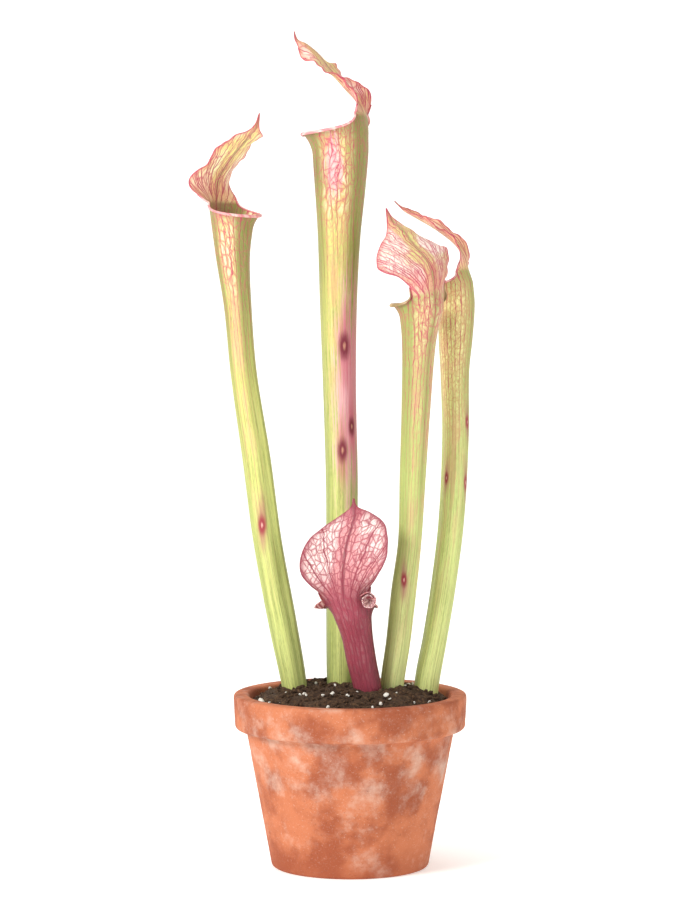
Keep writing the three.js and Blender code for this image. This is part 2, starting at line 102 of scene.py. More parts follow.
class LeafSettings(bpy.types.PropertyGroup):
    """Sizes and colours of the pitchers."""

    wall: length_property("Wall", "Thickness of a pitcher's leaf", 0.5 * MM)
    row_step: length_property("Row step", "Height of one row of faces on a tube", 1.6 * MM)
    columns: bpy.props.IntProperty(name="Columns", description="Faces across a leaf", default=88, min=24)
    low: colour_property("Low green", "Leaf colour near the peat", (206, 214, 128))
    middle: colour_property("Middle yellow", "Leaf colour half way up", (214, 210, 122))
    light: colour_property("Light threads", "Fine pale lines up the tube", (232, 232, 158))
    # Cream goes only on cells in the pale band that faces the camera, so it is partly painted light.
    pale: colour_property("Cream", "Leaf colour between the veins near the mouth", (250, 236, 200))
    # Shade green serves the stripes and the lid's midrib, and also as painted shade on the tube's flanks
    # beyond the pale band and just under the lip.
    shade: colour_property("Shade green", "Stripes along the tube and down its back", (112, 126, 56))
    vein: colour_property("Vein", "Veins near the mouth and on the lid", (190, 56, 94))
    net: colour_property("Net", "Fine net between the veins", (198, 80, 104))
    blush: colour_property("Blush", "Flush between the veins near the mouth", (222, 146, 132))
    stain: colour_property("Stain", "Crimson stain round the scars", (168, 62, 98))
    rose: colour_property("Rose", "Rosy patch below the tallest pitcher's mouth", (238, 164, 194))
    lid: colour_property("Lid", "Lid between its veins", (252, 234, 222))
    lid_tint: colour_property("Lid's tint", "Lid along its midrib and in patches", (216, 208, 124))
    lip: colour_property("Lip", "Rolled edge of the mouth", (228, 140, 146))
    lip_light: colour_property("Lip's light", "Pale patches of the rolled edge", (248, 208, 200))
    # The throat and its veins take over deeper inside the mouth: partly the throat's own colour, partly
    # painted shade in the recess.
    throat: colour_property("Throat", "Deep inside the mouth", (204, 144, 128))
    throat_vein: colour_property("Throat's veins", "Lines deep inside the mouth", (146, 74, 70))
    scar: colour_property("Scar", "Ring of a scar on a tube", (158, 50, 62))
    scar_core: colour_property("Scar's core", "Middle of a scar", (236, 186, 172))
    red_low: colour_property("Red stem", "Young pitcher near the peat", (126, 48, 60))
    red_middle: colour_property("Red tube", "Young pitcher's tube", (142, 56, 70))
    red_light: colour_property("Red threads", "Fine pale lines up the young pitcher", (204, 122, 124))
    red_pale: colour_property("Red lid", "Young pitcher's lid between its veins", (252, 226, 220))
    red_vein: colour_property("Red vein", "Young pitcher's veins", (136, 46, 64))


class PotSettings(bpy.types.PropertyGroup):
    """Sizes and colours of the pot and the peat."""

    rim_height: length_property("Rim height", "Height of the band round the rim", 21 * MM)
    band_step: length_property("Band step", "How far the band stands proud", 3.6 * MM)
    foot_radius: length_property("Foot radius", "Radius of the pot's foot", 47 * MM)
    wall: length_property("Wall", "Thickness of the pot's wall", 5.4 * MM)
    floor: length_property("Floor", "Thickness of the pot's floor", 7 * MM)
    hole_radius: length_property("Hole radius", "Radius of a drainage hole", 5.5 * MM)
    hole_circle: length_property("Hole circle", "Distance of the drainage holes from the middle", 27 * MM)
    clay: colour_property("Clay", "Fired clay", (196, 118, 82))
    clay_dark: colour_property("Damp clay", "Clay where it stays damp", (158, 84, 56))
    bloom: colour_property("Lime bloom", "White bloom that water leaves on the clay", (226, 206, 190))
    peat: colour_property("Peat", "Moist peat", (62, 44, 32))
    peat_light: colour_property("Peat fibre", "Dry crumbs and fibres", (112, 84, 58))


class StageSettings(bpy.types.PropertyGroup):
    """The camera and the light."""

    distance: length_property("Camera distance", "From the middle of the plant", 2.0)
    elevation: bpy.props.FloatProperty(
        name="Elevation", description="Angle above the level", default=math.radians(4), subtype="ANGLE"
    )
    lens: bpy.props.FloatProperty(name="Lens", description="Focal length", default=134, min=20, unit="CAMERA")
    paper: colour_property("Paper", "Floor and backdrop", (250, 249, 246))


def settings(name):
    return getattr(bpy.context.scene, name)


# The pitchers, in millimetres. A tube is rows of height, x, y and radius. A lid is rows of forward, up,
# aside, half width, turn and lean, from the middle of the mouth: turn is how far the leaf has curled, in
# radians, from its midrib to its margin, and lean the share by which its second side is wider than its
# first. A ruffle is its height, waves and phase, and flare how far the mouth turns out and over what
# length. lip is the radius of the mouth's rolled edge at its front, and at the neck's first and second
# side. band is the lane and half width of the pale band on each side of the tube; one of the two faces
# the camera, so the paler cells and stronger blush in it are partly painted light, and the flanks beyond
# it are darker, partly in painted shade. net is how far below the mouth its cells are full, how far down
# they end, and how strong the wide and the fine ones are, and cells is how pale they are. trunk is the
# half width of the lid's main veins, lid_veins how much stronger its others are than the tube's, and
# lid_cells how many of its cells go in a millimetre across and up. A scar is x and z on the side that
# faces the camera, and its half width. A stain is x, z, half width, half height, colour and strength. A
# spur is its length and how far up the mouth it stands. A scroll is its end, its radius outside and
# inside, and its length.
PITCHERS = {
    "pitcher_left": dict(
        facing=-38, flare=(3.2, 9), ruffle=(0.8, 3.2, 0.3), lip=(0.45, 0.3, 0.3), band=(7.4, 1.7),
        cells=0.85, trunk=0.5, lid_cells=(0.36, 0.085), lid_veins=0.1, net=(22, 62, 0.7, 0.35), tilt=0,
        colours=dict(blush=(238, 176, 146), lid=(255, 252, 212), lid_tint=(240, 236, 148)),
        tube=[
            (92, -32.5, 3, 6.2), (108, -33.5, 3, 7.5), (146, -40.5, 2, 8.5), (196, -49.5, 0, 8.5),
            (246, -56, -2, 8.4), (296, -63.3, -4, 7.8), (336, -66.8, -5, 8.2), (366, -69.6, -6, 10.2),
            (390, -69.8, -7, 13.2),
        ],
        lid=[
            (-12.8, 9, 0, 15.5, 1.0, 0.1), (-12.4, 16, 0, 18.5, -0.5, 0.2),
            (-11, 21.5, 0, 17.5, -0.5, 0.15), (-6.6, 28, 0, 15, -0.35, 0), (0.4, 35.5, 0, 15, -0.4, 0),
            (8, 42.5, 0, 13.5, -0.3, 0), (13.5, 47.5, 0, 11.5, 0, 0), (17.5, 51.5, 0, 3.4, 0.4, 0),
            (20.7, 60, 0, 0.3, 0.3, 0),
        ],
        scars=[(-52.5, 206, 1.9)],
        stains=[],
    ),
    "pitcher_tallest": dict(
        facing=160, flare=(5.4, 13), ruffle=(1.8, 3.6, 0.1), lip=(0.6, 0.35, 0.35), band=(5.3, 2.1),
        cells=0.85, trunk=0.5, lid_cells=(0.36, 0.085), lid_veins=0.3, net=(30, 66, 0.7, 0.35), tilt=0,
        colours=dict(
            blush=(226, 160, 126), lid=(250, 222, 206), lid_tint=(220, 206, 126), stain=(186, 68, 96),
            scar=(118, 34, 52), scar_core=(206, 150, 122),
        ),
        tube=[
            (92, -5.5, 16, 7), (108, -5.5, 16, 8.4), (166, -5, 16.5, 8.8), (226, -4.5, 17, 9.2),
            (286, -5.9, 18, 9.5), (336, -6.7, 19, 10.8), (376, -6.5, 20, 12.6), (406, -6, 20.5, 15.2),
            (427, -5.8, 21, 16.8), (439, -6, 21, 17),
        ],
        lid=[
            (-14.6, 13, 0, 10, 0.6, 0), (-11, 19, 0, 14, -1.1, 0.1), (-4.8, 25.5, 0, 13, -0.9, 0.05),
            (0.5, 31.5, 0, 12, -0.6, -0.2), (7.4, 39.5, 0, 15, -0.1, -0.1), (14.4, 48, 0, 15, 0.8, 0),
            (21.8, 54, 0, 9.5, 0.9, 0), (27.1, 56.5, 0, 3.2, 0.6, 0), (29.3, 61.5, 0, 0.3, 0.3, 0),
        ],
        scars=[(-3.5, 312, 2.6), (-4.5, 249.5, 2.3), (1, 263.5, 1.8)],
        stains=[
            (0, 284, 11, 64, "rose", 0.7), (4, 282, 8, 60, "stain", 0.5), (-10.5, 419, 6, 21, "rose", 0.6),
        ],
    ),
    "pitcher_middle": dict(
        facing=130, tilt=0.15, flare=(3.8, 8), ruffle=(1.3, 2.6, 0.55), lip=(0.8, 0.4, 0.4),
        band=(2.1, 1.7), cells=0.6, trunk=0.45, lid_cells=(0.36, 0.085), lid_veins=0.0,
        net=(12, 44, 0.6, 0.5),
        colours=dict(
            low=(228, 234, 158), middle=(192, 202, 120), shade=(142, 154, 80), pale=(240, 232, 176),
            lip=(150, 132, 84), lip_light=(200, 180, 140), lid_tint=(224, 216, 140),
        ),
        tube=[
            (92, 25.5, -2, 6), (108, 25, -2, 7), (136, 28.8, -2.5, 7.3), (166, 32, -4, 7.5),
            (196, 35.5, -5.5, 7), (236, 37.2, -8, 7.8), (276, 39, -10, 8.6), (316, 40.7, -12, 10.2),
            (336, 41.8, -13, 13.4),
        ],
        lid=[
            (-12, 10, 0, 15.6, 1.1, 0.1), (-11.6, 17, 0, 17, 0.8, 0), (-8.5, 24, 0, 20, 0.5, -0.12),
            (-1.7, 30.5, 0, 27.5, 0.4, -0.14), (8, 38, 0, 25, 0.5, -0.06), (16.9, 45.6, 0, 13.5, 0.7, 0),
            (26.3, 51, 0, 4, 0.6, 0), (31.6, 58.5, 0, 0.3, 0.3, 0),
        ],
        scars=[(32, 173.5, 1.4)],
        stains=[],
    ),
    "pitcher_right": dict(
        facing=162, flare=(1.6, 8), ruffle=(1.2, 3.4, 0.2), lip=(0.5, 0.35, 0.35), band=(6.6, 4.3),
        cells=0.7, trunk=0.45, lid_cells=(0.36, 0.085), lid_veins=0.3, net=(40, 120, 0.16, 0.65), tilt=0,
        colours=dict(
            low=(224, 232, 150), middle=(218, 228, 144), pale=(250, 240, 172), shade=(138, 150, 76),
            blush=(242, 182, 146), net=(198, 142, 92), lid=(244, 214, 182), lid_tint=(214, 196, 132),
        ),
        tube=[
            (92, 46, 8, 6.2), (108, 46.3, 8, 7.2), (136, 51.5, 9.5, 6.9), (166, 56.5, 12, 6.9),
            (206, 61.5, 15, 7.1), (256, 64, 19, 7.5), (296, 63.5, 22, 8.3), (316, 63.8, 23.5, 10),
            (336, 64.2, 24.4, 10.9), (349, 63.7, 25, 10.4),
        ],
        lid=[
            (-7.2, 10, 0, 10.5, 1.0, 0), (-5.5, 16, 0, 10, -0.3, -0.05), (-1.5, 22, 0, 10.5, -0.7, -0.1),
            (4, 27, 0, 11.5, -0.7, -0.1), (13.5, 33.5, 0, 11.5, -0.7, -0.1), (23.5, 39, 0, 9, -0.7, -0.1),
            (32.5, 44, 0, 4.2, -0.6, 0), (38.6, 50, 0, 0.3, 0.2, 0),
        ],
        scars=[(57.8, 232.5, 1.2), (69.5, 229.5, 1.5), (70.5, 266, 1.3)],
        stains=[],
    ),
    "pitcher_young_red": dict(
        facing=80, tilt=0.13, flare=(3.2, 7), ruffle=(0.8, 2.4, 0.4), lip=(0.8, 0.6, 0.6), band=(0.6, 3.4),
        cells=0.08, trunk=0.6, lid_cells=(0.27, 0.2), lid_veins=-0.6, net=(14, 72, 0.9, 0.6),
        spur=(7.0, 0.82), scroll=((10.4, -35, 163.6), 5.6, 3.4, 6),
        colours=dict(
            shade=(92, 32, 42), net=(156, 62, 78), blush=(158, 66, 82), lip=(172, 92, 92),
            lid=(252, 226, 220), lid_tint=(222, 156, 156),
        ),
        tube=[
            (92, 11.5, -12.5, 6.5), (108, 10.5, -13, 8.3), (124, 7, -15, 8.9), (141, 4, -18, 9.4),
            (155, 1, -21, 11.5),
        ],
        lid=[
            (-11.5, 10, -3, 16.5, 1.2, 0), (-12.5, 18, -3.4, 18.5, 0.2, 0), (-12, 26, -3.2, 25, -0.25, 0),
            (-10.5, 36, -2.4, 26.5, -0.3, 0), (-8, 46, -0.6, 24, -0.25, 0), (-5, 53.5, 1.4, 17.5, 0, 0),
            (-2.8, 59.5, 2.2, 9, 0.2, 0), (-1.6, 63, 1.4, 2.4, 0.3, 0), (0, 68, 1, 0.5, 0.2, 0),
        ],
        scars=[],
        stains=[],
    ),
}


def through(rows, at):
    """Values of a smooth curve through rows of (position, value, value, ...), one array for each value."""
    rows = np.asarray(rows, float)
    at = np.asarray(at, float)
    last = len(rows) - 1
    low = np.clip(np.searchsorted(rows[:, 0], at) - 1, 0, last - 1)
    high = low + 1
    span = rows[high, 0] - rows[low, 0]
    share = np.clip((at - rows[low, 0]) / span, 0, 1)[..., None]

    def slope(here):
        before = rows[np.maximum(here - 1, 0)]
        after = rows[np.minimum(here + 1, last)]
        return (after[..., 1:] - before[..., 1:]) * (span / (after[..., 0] - before[..., 0]))[..., None]

    start, end = rows[low, 1:], rows[high, 1:]
    leave, arrive = slope(low), slope(high)
    bend = 3 * (end - start) - 2 * leave - arrive
    swing = 2 * (start - end) + leave + arrive
    values = start + share * (leave + share * (bend + share * swing))
    return np.moveaxis(values, -1, 0)


def unit(vectors):
    return vectors / np.maximum(np.linalg.norm(vectors, axis=-1, keepdims=True), 1e-12)


class Trumpet:
    """A pitcher as one rolled leaf, in millimetres. A stage runs from 0 at the rhizome to 1 at the mouth's
    front, 2 at the neck and 3 at the tip of the lid, and across runs from -1 to 1 between the margins."""

    UP = np.array([0.0, 0.0, 1.0])
    RIM_STEPS = 160
    SPREAD_STEPS = 800

    def __init__(self, shape):
        self.shape = shape
        self.tube = np.array(shape["tube"], float)
        self.bottom = self.tube[0, 0]
        self.top = self.tube[-1, 0]
        angle = math.radians(shape["facing"])
        self.forward = np.array([math.cos(angle), math.sin(angle), 0])
        self.aside = np.cross(self.forward, self.UP)
        self.lid = self.lid_rows()
        self.neck = self.lid[1, 0]
        self.rib = self.rib_rows()
        self.stages, self.spread = self.spread_table()
        self.rim = self.rim_line()

    def middle(self, height):
        x, y, _ = through(self.tube, height)
        return np.stack([x, y, np.asarray(height, float)], -1)

    def direction(self, height):
        return unit(self.middle(height + 0.5) - self.middle(height - 0.5))

    def section_frame(self, along, tilt):
        tilt = np.asarray(tilt, float)[..., None]
        side = self.aside * np.cos(tilt) + self.UP * np.sin(tilt)
        side = np.broadcast_to(side, along.shape)
        return side, unit(np.cross(along, side))

    def lid_rows(self):
        """The midrib from the back of the mouth: length so far, x, y, z, half width, turn and lean."""
        middle = self.middle(np.array(self.top))
        radius = self.tube[-1, 3]
        _, inward = self.section_frame(self.direction(np.array(self.top - 1)), 0.0)
        last = middle - inward * radius
        rows = [(0.0, *last, math.pi * radius, math.pi, 0.0)]
        for ahead, up, across, *spread in self.shape["lid"]:
            at = middle + self.forward * ahead + self.aside * across + self.UP * up
            rows.append((rows[-1][0] + np.linalg.norm(at - last), *at, *spread))
            last = at
        return np.array(rows)

    def rib_rows(self):
        """The lid's midrib as length, x, y and z, with a row of the tube's before it, so that they run on."""
        below = 6.0
        height = np.array(self.top - below)
        _, inward = self.section_frame(self.direction(height), 0.0)
        start = self.middle(height) - inward * through(self.tube, height)[2]
        return np.vstack([[-below, *start], self.lid[:, :4]])

    def spread_table(self):
        """Half width, turn and lean from the front of the mouth to the tip, rounded off at the neck."""
        stages = np.linspace(1, 3, self.SPREAD_STEPS)
        opened = np.clip(stages - 1, 0, 1)
        lid = np.stack(through(self.lid[1:], self.length(stages))[3:])
        (front_half, front_turn, _), (neck_half, neck_turn, neck_lean) = self.lid[:2, 4:]
        turn = front_turn + (neck_turn - front_turn) * np.sin(math.pi / 2 * opened)
        bow = front_half / front_turn
        bow = bow + (neck_half / neck_turn - bow) * opened**2
        sharp = np.where(stages < 2, np.stack([bow * turn, turn, neck_lean * opened**2]), lid)
        reach = self.SPREAD_STEPS // 14
        weights = np.hanning(2 * reach + 1)
        padded = np.pad(sharp, ((0, 0), (reach, reach)), mode="edge")
        smooth = np.stack([np.convolve(row, weights / weights.sum(), mode="valid") for row in padded])
        near = np.clip(1.6 - np.abs(stages - 2) * 4, 0, 1)
        return stages, sharp + (smooth - sharp) * near

    def length(self, stages):
        """Length along the midrib above the back of the mouth, for stages of 1 and more."""
        opened = np.clip(stages - 1, 0, 1)
        beyond = np.clip(stages - 2, 0, 1)
        return np.where(stages < 2, self.neck * opened**2, self.neck + (self.lid[-1, 0] - self.neck) * beyond)

    def sections(self, stages):
        """For each stage: the midrib's point, side, inward, half width, turn, lean and length so far."""
        stages = np.asarray(stages, float)
        height = self.bottom + (self.top - self.bottom) * np.clip(stages, 0, 1)
        x, y, radius = through(self.tube, height)
        tube_along = self.direction(np.clip(height, self.bottom + 1, self.top - 1))
        side, inward = self.section_frame(tube_along, np.zeros_like(stages))
        rib = np.stack([x, y, height], -1) - inward * radius[:, None]
        opened = np.clip(stages - 1, 0, 1)
        end = self.lid[-1, 0]
        length = self.length(stages)

        def point(at):
            return np.stack(through(self.rib, at), -1)

        reach = 0.4
        rib_along = unit(point(np.minimum(length + reach, end)) - point(length - reach))
        along = unit(tube_along + (rib_along - tube_along) * opened[:, None] ** 2)
        lid_side, lid_inward = self.section_frame(along, self.shape["tilt"] * opened**2)
        half, turn, lean = (np.interp(stages, self.stages, row) for row in self.spread)
        in_tube = stages <= 1
        half = np.where(in_tube, math.pi * radius, half)
        turn = np.where(in_tube, math.pi, turn)
        pick = in_tube[:, None]
        return (
            np.where(pick, rib, point(length)),
            np.where(pick, side, lid_side),
            np.where(pick, inward, lid_inward),
            half,
            np.where(np.abs(turn) < 1e-3, 1e-3, turn),
            np.where(in_tube, 0, lean),
            length,
        )

    def plain(self, stages, across):
        """Points of the leaf before its mouth turns out, and which way is outward, for stages by across."""
        rib, side, inward, half, turn, lean, _ = self.sections(stages)
        across = np.broadcast_to(across, (len(stages), np.shape(across)[-1]))
        curl = turn[:, None] * across
        bow = (half / turn)[:, None] * (1 + lean[:, None] * np.sign(across))
        side, inward = side[:, None], inward[:, None]
        sideways, depth = bow * np.sin(curl), bow * (1 - np.cos(curl))
        point = rib[:, None] + side * sideways[..., None] + inward * depth[..., None]
        outward = side * np.sin(curl)[..., None] - inward * np.cos(curl)[..., None]
        lift = self.keel(stages, across, half) + self.ruffle(stages, across)
        return point + outward * lift[..., None], outward

    def keel(self, stages, across, half):
        """The low wing down the front of the tube."""
        height, reach = 1.5, 1.7
        from_margin = (1 - np.abs(across)) * half[:, None]
        fade = np.sin(math.pi * np.clip(stages * 1.02, 0, 1)) ** 0.5
        return np.where(stages < 1, height * fade, 0)[:, None] * np.exp(-((from_margin / reach) ** 2))

    def ruffle(self, stages, across):
        """Waves along the lid's margins, with finer ones on them."""
        height, waves, phase = self.shape["ruffle"]
        share = np.clip(stages - 2, 0, 1)[:, None]
        turns = waves * share + phase * np.where(across < 0, 1, 2)
        wave = np.sin(2 * math.pi * turns) + 0.35 * np.sin(2 * math.pi * (2.7 * turns + 0.2))
        return height * wave * np.abs(across) ** 3 * np.sin(math.pi * share)

    def rim_line(self):
        """The mouth's edge, from one side of the neck to the other: points, outward, the lip's strength."""
        opened = np.linspace(0, 1, self.RIM_STEPS)
        points, outward = self.plain(1 + opened, np.array([-1.0, 1.0]))
        strength = np.cos(math.pi / 2 * opened) ** 0.7
        order = np.concatenate([np.arange(self.RIM_STEPS)[::-1], np.arange(1, self.RIM_STEPS)])
        sides = np.concatenate([np.zeros(self.RIM_STEPS, int), np.ones(self.RIM_STEPS - 1, int)])
        return points[order, sides], outward[order, sides], strength[order]

    def lip_at(self, points):
        """How far each point's nearest point of the rim is, its outward, and the lip's strength there."""
        rim_points, rim_outward, strength = self.rim
        flat = points.reshape(-1, 3)
        nearest = np.empty(len(flat), int)
        distance = np.empty(len(flat))
        batch = 4000
        for start in range(0, len(flat), batch):
            gap = np.linalg.norm(flat[start : start + batch, None] - rim_points[None], axis=-1)
            nearest[start : start + batch] = gap.argmin(axis=1)
            distance[start : start + batch] = gap.min(axis=1)
        shape = points.shape[:-1]
        return (
            distance.reshape(shape),
            rim_outward[nearest].reshape(points.shape),
            strength[nearest].reshape(shape),
        )

    def skin(self, stages, across):
        """Points on the outside of the leaf, and their distance to the mouth's edge."""
        points, _ = self.plain(stages, across)
        distance, outward, strength = self.lip_at(points)
        out, reach = self.shape["flare"]
        push = out * strength * np.clip(1 - distance / reach, 0, 1) ** 2
        return points + outward * push[..., None], distance


LANES = 12
FAN = 12.0
LIP_END = 2.06


def vein_lanes(trumpet, stages, across):
    """Each point's lane, and the width of a lane there in millimetres. The veins run in lanes, which follow
    the tube and fan out from the neck into the lid."""
    _, _, _, half, turn, lean, length = trumpet.sections(stages)
    neck_half, neck_turn = trumpet.lid[1, 4], trumpet.lid[1, 5]
    fan = 1 + np.maximum(length - trumpet.neck, 0) / FAN
    in_lid = stages >= 2
    leaning = 1 + lean[:, None] * np.sign(across)
    lane = np.where(
        in_lid[:, None],
        (neck_turn / math.pi * half / neck_half / fan)[:, None] * across * leaning,
        (turn / math.pi)[:, None] * across,
    )
    width = np.where(in_lid, neck_half * math.pi / neck_turn * fan, half * math.pi / turn) / LANES
    return lane * LANES, np.broadcast_to(width[:, None], lane.shape)


def leaf_stages(trumpet, row_step):
    """The stages that get a row of points: even along the tube, and closer at the mouth and on the lid."""
    coarser = 1
    start = 0.02
    tube_rows = int((trumpet.top - trumpet.bottom) * MM / row_step) // coarser
    mouth_rows, lid_rows = 42 // coarser, 96 // coarser
    tube = start + (1 - start) * np.linspace(0, 1, tube_rows, endpoint=False)
    mouth = 1 + np.linspace(0, 1, mouth_rows, endpoint=False)
    lid = 2 + np.linspace(0, 1, lid_rows)
    return np.concatenate([tube, mouth, lid])


def lip_strip(trumpet, stages, side, steps):
    """The leaf's rolled edge beyond one margin of the mouth: points, and how far round the roll each is."""
    margin = trumpet.skin(stages, np.array([float(side)]))[0][:, 0]
    _, outward = trumpet.plain(stages, np.array([float(side)]))
    outward = outward[:, 0]
    other = trumpet.skin(stages[1:2], np.array([-float(side)]))[0][:, 0]
    tangent = unit(np.gradient(np.concatenate([other, margin]), axis=0)[1:])
    away = unit(np.cross(tangent, outward)) * side
    opened = np.clip(stages - 1, 0, 1)
    out, reach = trumpet.shape["flare"]
    tilt = (2 * out / reach * np.cos(math.pi / 2 * opened) ** 0.7)[:, None]
    along, normal = unit(away + tilt * outward), unit(outward - tilt * away)
    front, *necks = trumpet.shape["lip"]
    neck = necks[0 if side < 0 else 1]
    radius = (front + (neck - front) * opened**1.5) * np.clip((LIP_END - stages) / (LIP_END - 2), 0, 1)
    roll = math.pi * (1.2 - 0.3 * opened)
    longer = np.zeros_like(opened)
    if side < 0 and "spur" in trumpet.shape:
        length, place = trumpet.shape["spur"]
        point = np.clip(1 - np.abs(opened - place) / 0.15, 0, 1) ** 1.2
        longer = length * point
        roll = roll + (0.55 * math.pi - roll) * np.minimum(point * 2, 1)
    share = np.arange(1, steps + 1) / steps
    turn = roll[:, None] * share
    bow = radius[:, None]
    beyond = longer[:, None] * share**2
    points = (
        margin[:, None]
        + along[:, None] * (bow * np.sin(turn) + beyond * np.cos(turn))[..., None]
        + normal[:, None] * (bow * (1 - np.cos(turn)) + beyond * np.sin(turn))[..., None]
    )
    return points, bow * turn + beyond


def leaf_columns(trumpet, stages, columns):
    """Across for each row and column: columns run straight up past the front of the mouth, then fan out."""
    even = np.linspace(-1, 1, 2 * (columns // 2) + 1)
    across = even + 0.08 * np.sin(math.pi * even)
    turn = trumpet.sections(stages)[4]
    straight = np.clip(math.pi * across / np.where(stages < 2, turn, math.pi)[:, None], -1, 1)
    share = np.clip((stages - 1.1) / 0.6, 0, 1)
    fanned = (share**2 * (3 - 2 * share))[:, None]
    return straight + (across - straight) * fanned


def leaf_grid(trumpet, columns, row_step):
    """The leaf as arrays over rows and columns: points, flow and skin. Then its rows that have a rolled edge,
    and how many columns that edge takes on each side."""
    stages = leaf_stages(trumpet, row_step)
    across = leaf_columns(trumpet, stages, columns)
    points, distance = trumpet.skin(stages, across)
    lanes, width = vein_lanes(trumpet, stages, across)
    _, _, _, half, _, lean, length = trumpet.sections(stages)
    far_away = 99.0
    margin = (1 - np.abs(across)) * half[:, None] * (1 + lean[:, None] * np.sign(across))
    margin = np.where(stages[:, None] < 1, far_away, margin)
    height = trumpet.bottom + (trumpet.top - trumpet.bottom) * np.clip(stages, 0, 1) + length
    spread = [np.broadcast_to(values[:, None], lanes.shape) for values in (height, stages)]
    middle = [points, np.stack([lanes, *spread], -1), np.stack([distance, margin, width], -1)]
    steps = 9
    rows = slice(int(np.argmax(stages >= 1)), int(np.argmax(stages >= LIP_END)))
    grids = list(middle)
    for side in (-1, 1):
        edge = 0 if side < 0 else -1
        strips = [np.repeat(grid[:, edge, None], steps, axis=1) for grid in middle]
        rolled = np.zeros((len(stages), steps))
        strips[0][rows], rolled[rows] = lip_strip(trumpet, stages[rows], side, steps)
        strips[2][..., 0] = np.minimum(strips[2][..., 0], -rolled)
        strips[2][..., 1] = -rolled
        for k, strip in enumerate(strips):
            grids[k] = np.concatenate([strip[:, ::-1], grids[k]] if side < 0 else [grids[k], strip], axis=1)
    return *grids, rows, steps


def in_scene(name, data):
    """A new object of data, in the scene."""
    made = bpy.data.objects.new(name, data)
    bpy.context.scene.collection.objects.link(made)
    return made


def from_bmesh(name, bm, materials=(), smooth=True):
    """A new mesh object from bm, in the scene."""
    mesh = bpy.data.meshes.new(name)
    bm.to_mesh(mesh)
    bm.free()
    for polygon in mesh.polygons:
        polygon.use_smooth = smooth
    for material in materials:
        mesh.materials.append(material)
    return in_scene(name, mesh)


def finished(name, bm, materials, slot, *replaced):
    """A mesh object from bm, in place, riding on the plant's body."""
    piece = from_bmesh(name, bm, materials)
    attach(piece, BODY)
    if replaced:
        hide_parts(*replaced)
    return piece


def sheet(name, points, flow, skin, drop, wall, materials, slot, node):
    """A thin curved piece of leaf: a grid of faces at points, without the faces that drop picks."""
    rows, total = points.shape[:2]
    bm = bmesh.new()
    bmesh.ops.create_grid(bm, x_segments=total - 1, y_segments=rows - 1, size=1)
    place = {}
    for vert in bm.verts:
        column = round((vert.co.x + 1) / 2 * (total - 1))
        row = round((vert.co.y + 1) / 2 * (rows - 1))
        place[vert] = row, column
        vert.co = Vector(points[row, column]) * MM
    flow_layer = bm.loops.layers.float_vector.new("flow")
    skin_layer = bm.loops.layers.float_vector.new("skin")
    stray = []
    for face in bm.faces:
        spots = [place[vert] for vert in face.verts]
        if drop(min(row for row, _ in spots), min(column for _, column in spots)):
            stray.append(face)
            continue
        for loop, spot in zip(face.loops, spots):
            loop[flow_layer] = flow[spot]
            loop[skin_layer] = skin[spot]
    bmesh.ops.delete(bm, geom=stray, context="FACES")
    bmesh.ops.remove_doubles(bm, verts=bm.verts, dist=0.002 * MM)
    piece = finished(name, bm, materials, slot, node)
    solid = piece.modifiers.new("Wall", "SOLIDIFY")
    solid.thickness = wall
    solid.offset = -1
    solid.material_offset = 1
    solid.use_quality_normals = True
    return piece


def build_leaf(name, shape, leaf, outside, inside, slot):
    """One pitcher: a grid bent to the rolled leaf, closed along its seam, with a wall."""
    columns = leaf.columns // 1
    points, flow, skin, lip_rows, steps = leaf_grid(Trumpet(shape), columns, leaf.row_step)
    last_column = points.shape[1] - 1 - steps

    def beyond_lip(row, column):
        return (column < steps or column >= last_column) and not lip_rows.start <= row < lip_rows.stop - 1

    return sheet(name + "_leaf", points, flow, skin, beyond_lip, leaf.wall, [outside, inside], slot, name)


def build_scroll(name, shape, leaf, outside, inside, slot):
    """The loose end of the lip at the neck, rolled up like a scroll that closes behind."""
    end, wide, narrow, length = shape["scroll"]
    trumpet = Trumpet(shape)
    axis = trumpet.forward
    right = np.cross(axis, trumpet.UP)
    turns, columns, rows, recede = 1.35, 72, 16, 1.6
    share = np.linspace(0, 1, columns)
    along = np.linspace(0, 1, rows)
    angle = math.pi * 0.85 - 2 * math.pi * turns * share
    radius = wide + (narrow - wide) * share**0.8
    taper = np.sqrt(1 - (0.98 * along[:, None]) ** 2)
    wave = 1 + 0.03 * np.sin(5 * angle) * (1 - along[:, None])
    spread = radius * taper * wave
    points = (
        np.array(end)
        + axis * (length * along[:, None] + recede * share)[..., None]
        + right * (spread * np.cos(angle))[..., None]
        + trumpet.UP * (spread * np.sin(angle))[..., None]
    )
    arc = np.broadcast_to(2 * math.pi * turns * wide * share, spread.shape)
    deep = np.broadcast_to(length * along[:, None], spread.shape)
    lane, in_lid = 16.0, 2.3
    flow = np.stack([arc / lane, trumpet.top + deep, np.full_like(deep, in_lid)], -1)
    skin = np.stack([deep + 3.0, deep + 6.0, np.full_like(deep, lane)], -1)

    def beyond(row, column):
        return False

    return sheet(name + "_scroll", points, flow, skin, beyond, leaf.wall, [outside, inside], slot, name)


class Wire:
    """A shader socket that takes part in Python expressions: each operator adds one Math node."""

    def __init__(self, shade, socket):
        self.shade = shade
        self.socket = socket

    def out(self, name):
        return Wire(self.shade, self.socket.node.outputs[name])

    def __add__(self, other):
        return self.shade.maths("ADD", self, other)

    def __sub__(self, other):
        return self.shade.maths("SUBTRACT", self, other)

    def __rsub__(self, other):
        return self.shade.maths("SUBTRACT", other, self)

    def __mul__(self, other):
        return self.shade.maths("MULTIPLY", self, other)

    def __truediv__(self, other):
        return self.shade.maths("DIVIDE", self, other)

    def __abs__(self):
        return self.shade.maths("ABSOLUTE", self)

    __radd__ = __add__
    __rmul__ = __mul__


